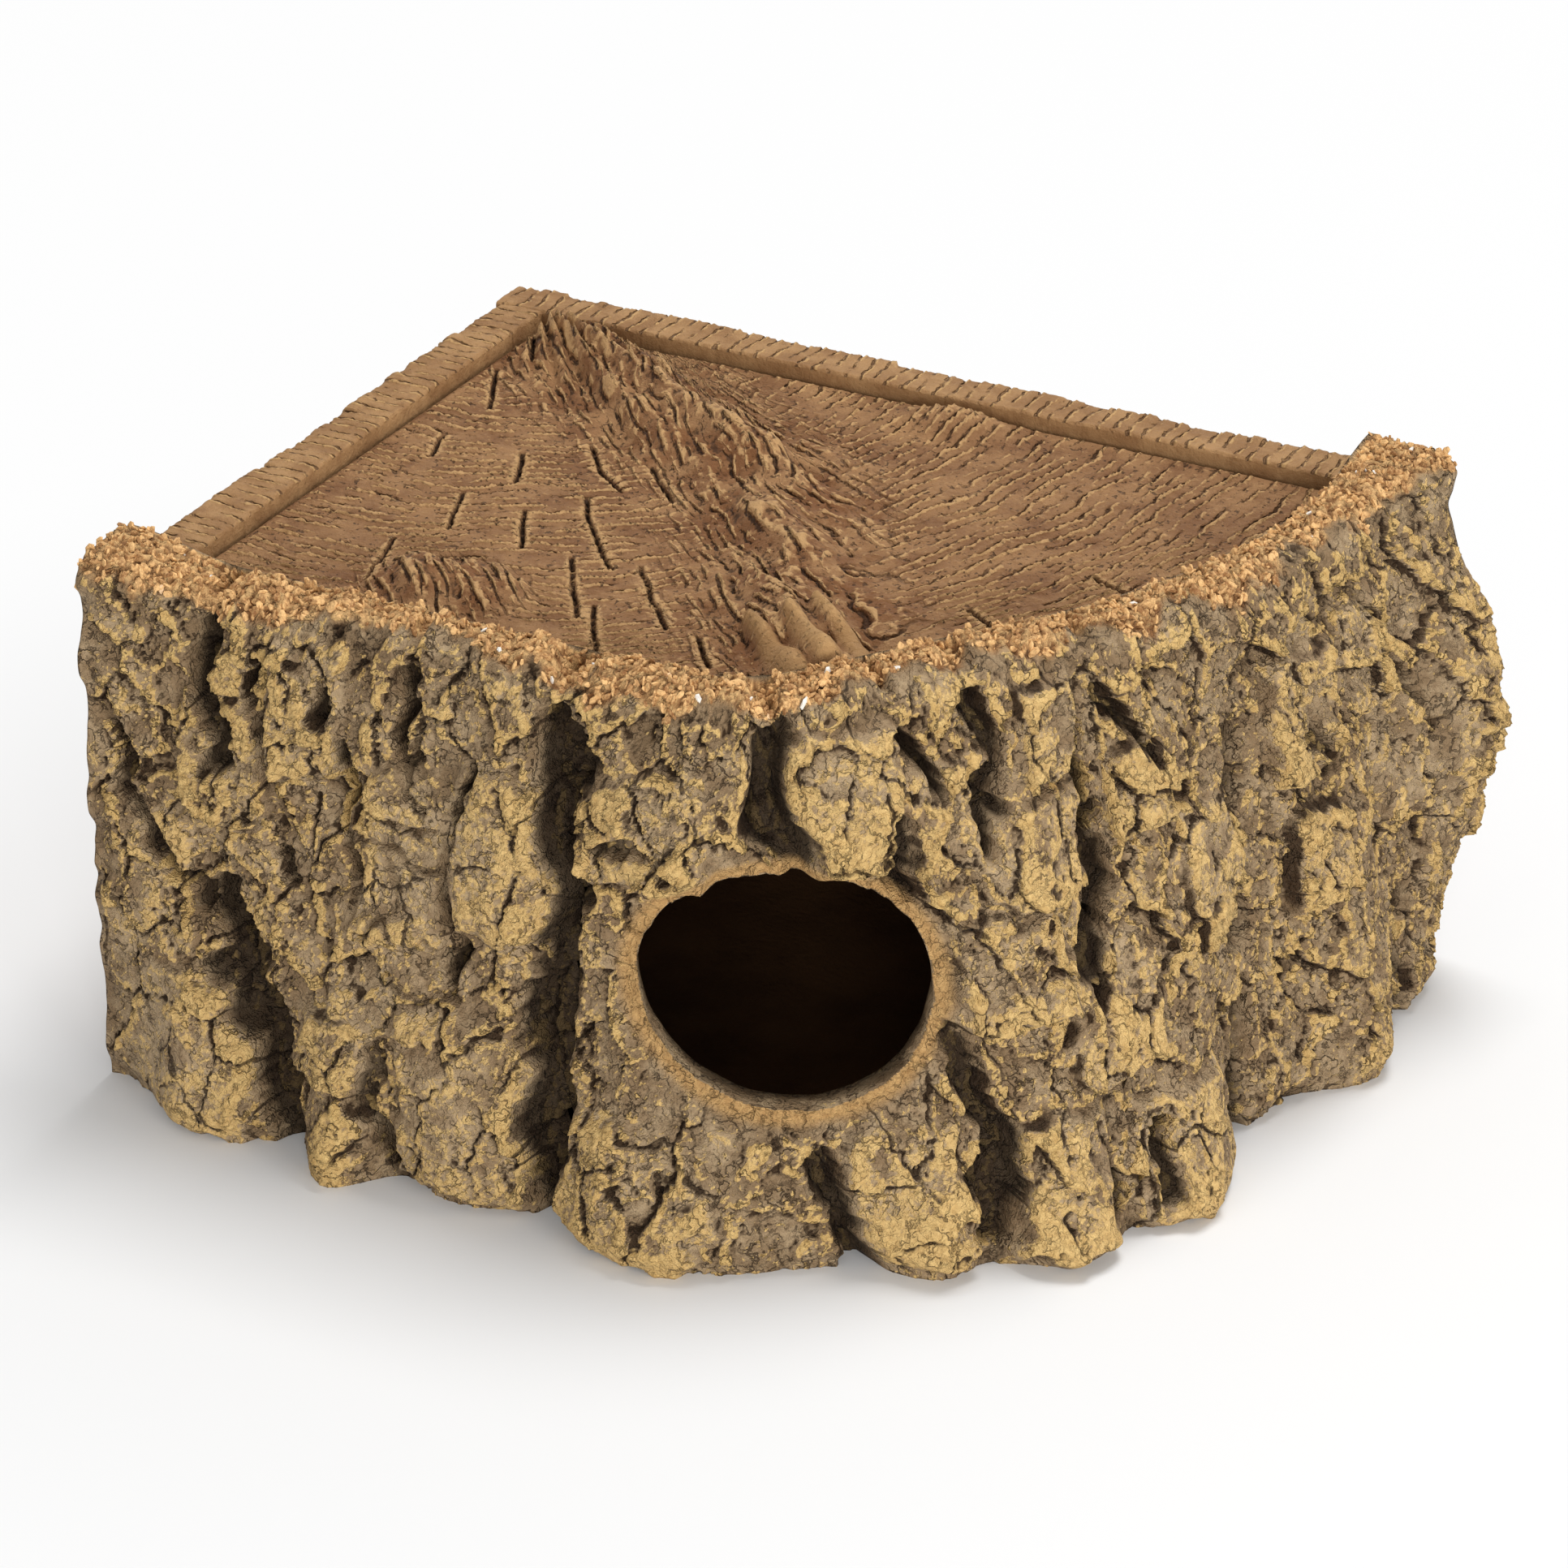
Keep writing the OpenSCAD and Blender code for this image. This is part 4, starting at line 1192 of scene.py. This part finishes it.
def stump_paint(g):
    """Warm brown wood, pale on the crests, dark in the grooves, pits and checks, and darker in its low spots
    as painted shade.
    """
    place = place_mm(g)
    lift, swell, strand, toe = (attribute(g, name) for name in ("lift", "swell", "strand", "lip"))
    blotch, fine = g.noise(place, 0.07, 5.0, 0.66), g.noise(place, 0.9, 5.0, 0.72)
    chart, strand_at = attribute(g, "chart", 1), attribute(g, "strand_at", 1)
    grooves, crests = ring_lines(g, chart)
    slits, edges = strand_lines(g, strand_at, chart)
    cuts = (grooves * 0.7 * (1 - strand) + slits * strand) * (1 - toe)
    raised = (crests * (1 - strand) + edges * strand) * (1 - toe)
    pits = g.rise(g.noise(place, 0.8, 2.0, 0.5), 0.62, 0.7)
    base = g.mix(g.rise(blotch, 0.3, 0.7), rgb(132, 91, 58), rgb(176, 133, 90))
    base = g.mix(strand * g.rise(blotch, 0.6, 0.4) * 0.7, base, rgb(128, 82, 46))
    pale = g.rise(lift + swell * 0.12 + raised * 0.4 + (fine - 0.5) * 0.9, 0.1, 0.5)
    colour = g.mix(pale * 0.85, base, rgb(216, 172, 118))
    # Painted shade: darker where the surface lies below its near surroundings. Pits and cuts add their own
    # dark marks.
    dark = g.rise(0 - lift - (fine - 0.5) * 0.9, 0.14, 0.45)
    shade_and_dark_marks = g.most(g.most(dark * 0.8, pits * 0.7), cuts * g.rise(fine, 0.35, 0.55))
    colour = g.mix(shade_and_dark_marks, colour, rgb(58, 36, 19))
    colour = g.mix(g.rise(toe, 0.2, 0.8) * 0.6, colour, rgb(190, 148, 96))
    colour = g.mix(attribute(g, "check") * 0.85, colour, rgb(46, 30, 17))
    return {"Base Color": colour, "Roughness": 0.62,
            "Normal": bumped(g, fine * 0.9 + raised * 0.4 - cuts * 0.8 - pits * 0.5, 0.0013)}


def inside_paint(g):
    """Plain dark brown resin of the floor and the ledge."""
    place = place_mm(g)
    blotch, fine = g.noise(place, 0.05, 3.0, 0.55), g.noise(place, 0.8, 4.0, 0.6)
    colour = g.mix(g.rise(blotch, 0.3, 0.7), rgb(76, 52, 32), rgb(96, 67, 42))
    return {"Base Color": colour, "Roughness": g.rise(fine, 0.0, 1.0) * 0.15 + 0.68,
            "Normal": bumped(g, fine, 0.0004)}


def crumb_paint(g):
    """Tan crumbs of many shades, with a few that broke white."""
    shade = attribute(g, "shade")
    fine = g.noise(place_mm(g), 1.6, 3.0, 0.6)
    pale = g.rise(shade * 0.6 + (fine - 0.5) * 1.4 + 0.2, 0.0, 0.9)
    colour = g.mix(pale, rgb(140, 97, 59), rgb(232, 187, 128))
    colour = g.mix(g.rise(shade, 0.988, 0.99), colour, rgb(238, 232, 222))
    return {"Base Color": colour, "Roughness": 0.7, "Normal": bumped(g, fine, 0.0004)}


# Scene
WHITE = (1, 1, 1, 1)
AMBIENT = 0.45
FLOOR_REACH = 3.0


def photo_camera():
    """Camera at the photo's viewing angle."""
    azimuth, elevation = math.radians(27.68), math.radians(27.58)
    distance = 1.280
    target = Vector(np.array([90.9, -44.9, 29.0]) * MM) + Vector(BACK_CORNER)
    level = math.cos(elevation)
    away = Vector((math.sin(azimuth) * level, -math.cos(azimuth) * level, math.sin(elevation)))
    data = bpy.data.cameras.new("photo_camera")
    data.sensor_width = 36.0
    data.lens = 132.2
    camera = in_scene("photo_camera", data)
    camera.location = target + away * distance
    camera.rotation_euler = away.to_track_quat("Z", "Y").to_euler()
    bpy.context.scene.camera = camera


def lamp(name, place, aim, size, power):
    """Square lamp, turned to what it lights."""
    data = bpy.data.lights.new(name, "AREA")
    data.size = size
    data.energy = power
    lit = in_scene(name, data)
    lit.location = place
    lit.rotation_euler = (Vector(place) - Vector(aim)).to_track_quat("Z", "Y").to_euler()


def seen_straight(g):
    """1 where the camera sees a thing straight, in a mirror or through glass."""
    rays = [g.node("ShaderNodeLightPath", None, None, ray)
            for ray in ("Is Camera Ray", "Is Glossy Ray", "Is Transmission Ray")]
    return g.most(g.most(rays[0], rays[1]), rays[2])


def white_world():
    """White surroundings to the eye, which light the hide more dimly."""
    world = bpy.data.worlds.new("studio")
    world.use_nodes = True
    bpy.context.scene.world = world
    g = Graph(world.node_tree)
    strength = seen_straight(g) * (1 - AMBIENT) + AMBIENT
    g.feed(world.node_tree.nodes["Background"], {"Color": WHITE, "Strength": strength})


def white_floor():
    """White floor that keeps the shadow."""
    corners = [(-FLOOR_REACH, -FLOOR_REACH, 0), (FLOOR_REACH, -FLOOR_REACH, 0),
               (FLOOR_REACH, FLOOR_REACH, 0), (-FLOOR_REACH, FLOOR_REACH, 0)]
    mesh = bpy.data.meshes.new("floor")
    mesh.from_pydata(corners, [], [(0, 1, 2, 3)])
    mesh.materials.append(floor_paint())
    floor = in_scene("floor", mesh)


def studio():
    """White floor and surroundings, and three soft lamps."""
    white_world()
    white_floor()
    lamp("overhead", (0.1, 0.5, 1.5), (0, 0, 0), 0.7, 17)
    lamp("key", (0.7, -1.3, 0.4), (0, 0, 0.05), 0.5, 9)
    lamp("fill", (1.3, -0.7, 0.35), (0, 0, 0.05), 0.6, 7.5)


def floor_paint():
    """White that shows the shadow near the hide and glows plain white away from it."""
    material = bpy.data.materials.new("floor_white")
    material.use_nodes = True
    tree = material.node_tree
    g = Graph(tree)
    shader = tree.nodes["Principled BSDF"]
    g.feed(shader, {"Base Color": (0.8, 0.8, 0.8, 1), "Roughness": 0.9})
    glow = g.node("ShaderNodeEmission", None, {"Color": WHITE, "Strength": 1.0})
    away = g.rise(g.length(object_place(g)), 0.14, 0.34)
    share = seen_straight(g) * (away * 0.9 + 0.02)
    both = g.node("ShaderNodeMixShader", None, {0: share, 1: Wire(g, shader.outputs[0]), 2: glow})
    g.feed(tree.nodes["Material Output"], {"Surface": both})
    return material


bpy.context.scene.view_settings.view_transform = "Standard"
photo_camera()
studio()

bark_finish = painted("bark_resin", bark_paint)
lip_finish = painted("entrance_resin", lip_paint)
crumb_finish = painted("crumb_resin", crumb_paint)
crumbs = crumb_tree()
for bark in bark_pieces(bark_finish, lip_finish):
    loose = rim_crumbs(bark, crumbs, crumb_finish)
    for piece in (bark, loose):
        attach(piece, "tub")
    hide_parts("bark_wall")

plank_finish = painted("plank_resin", plank_paint)
ribs = plank_tree()
for node, start, way, back, length in (
        ("long_back_wall", (0.0, 0.0), (1.0, 0.0), (0.0, 1.0), DEN_WIDTH),
        ("short_back_wall", (0.0, -WALL_T), (0.0, -1.0), (-1.0, 0.0), DEN_DEPTH - WALL_T)):
    plank = plank_piece(node.replace("wall", "plank"), start, way, back, length, ribs, plank_finish)
    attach(plank, "tub")
    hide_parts(node)

stump = lid_piece(painted("stump_resin", stump_paint))
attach(stump, "lid")
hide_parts("lid")

inside_finish = painted("inside_resin", inside_paint)
for node in ("floor_plate", "lid_ledge"):
    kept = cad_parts[node]
    kept.data.materials.clear()
    kept.data.materials.append(inside_finish)
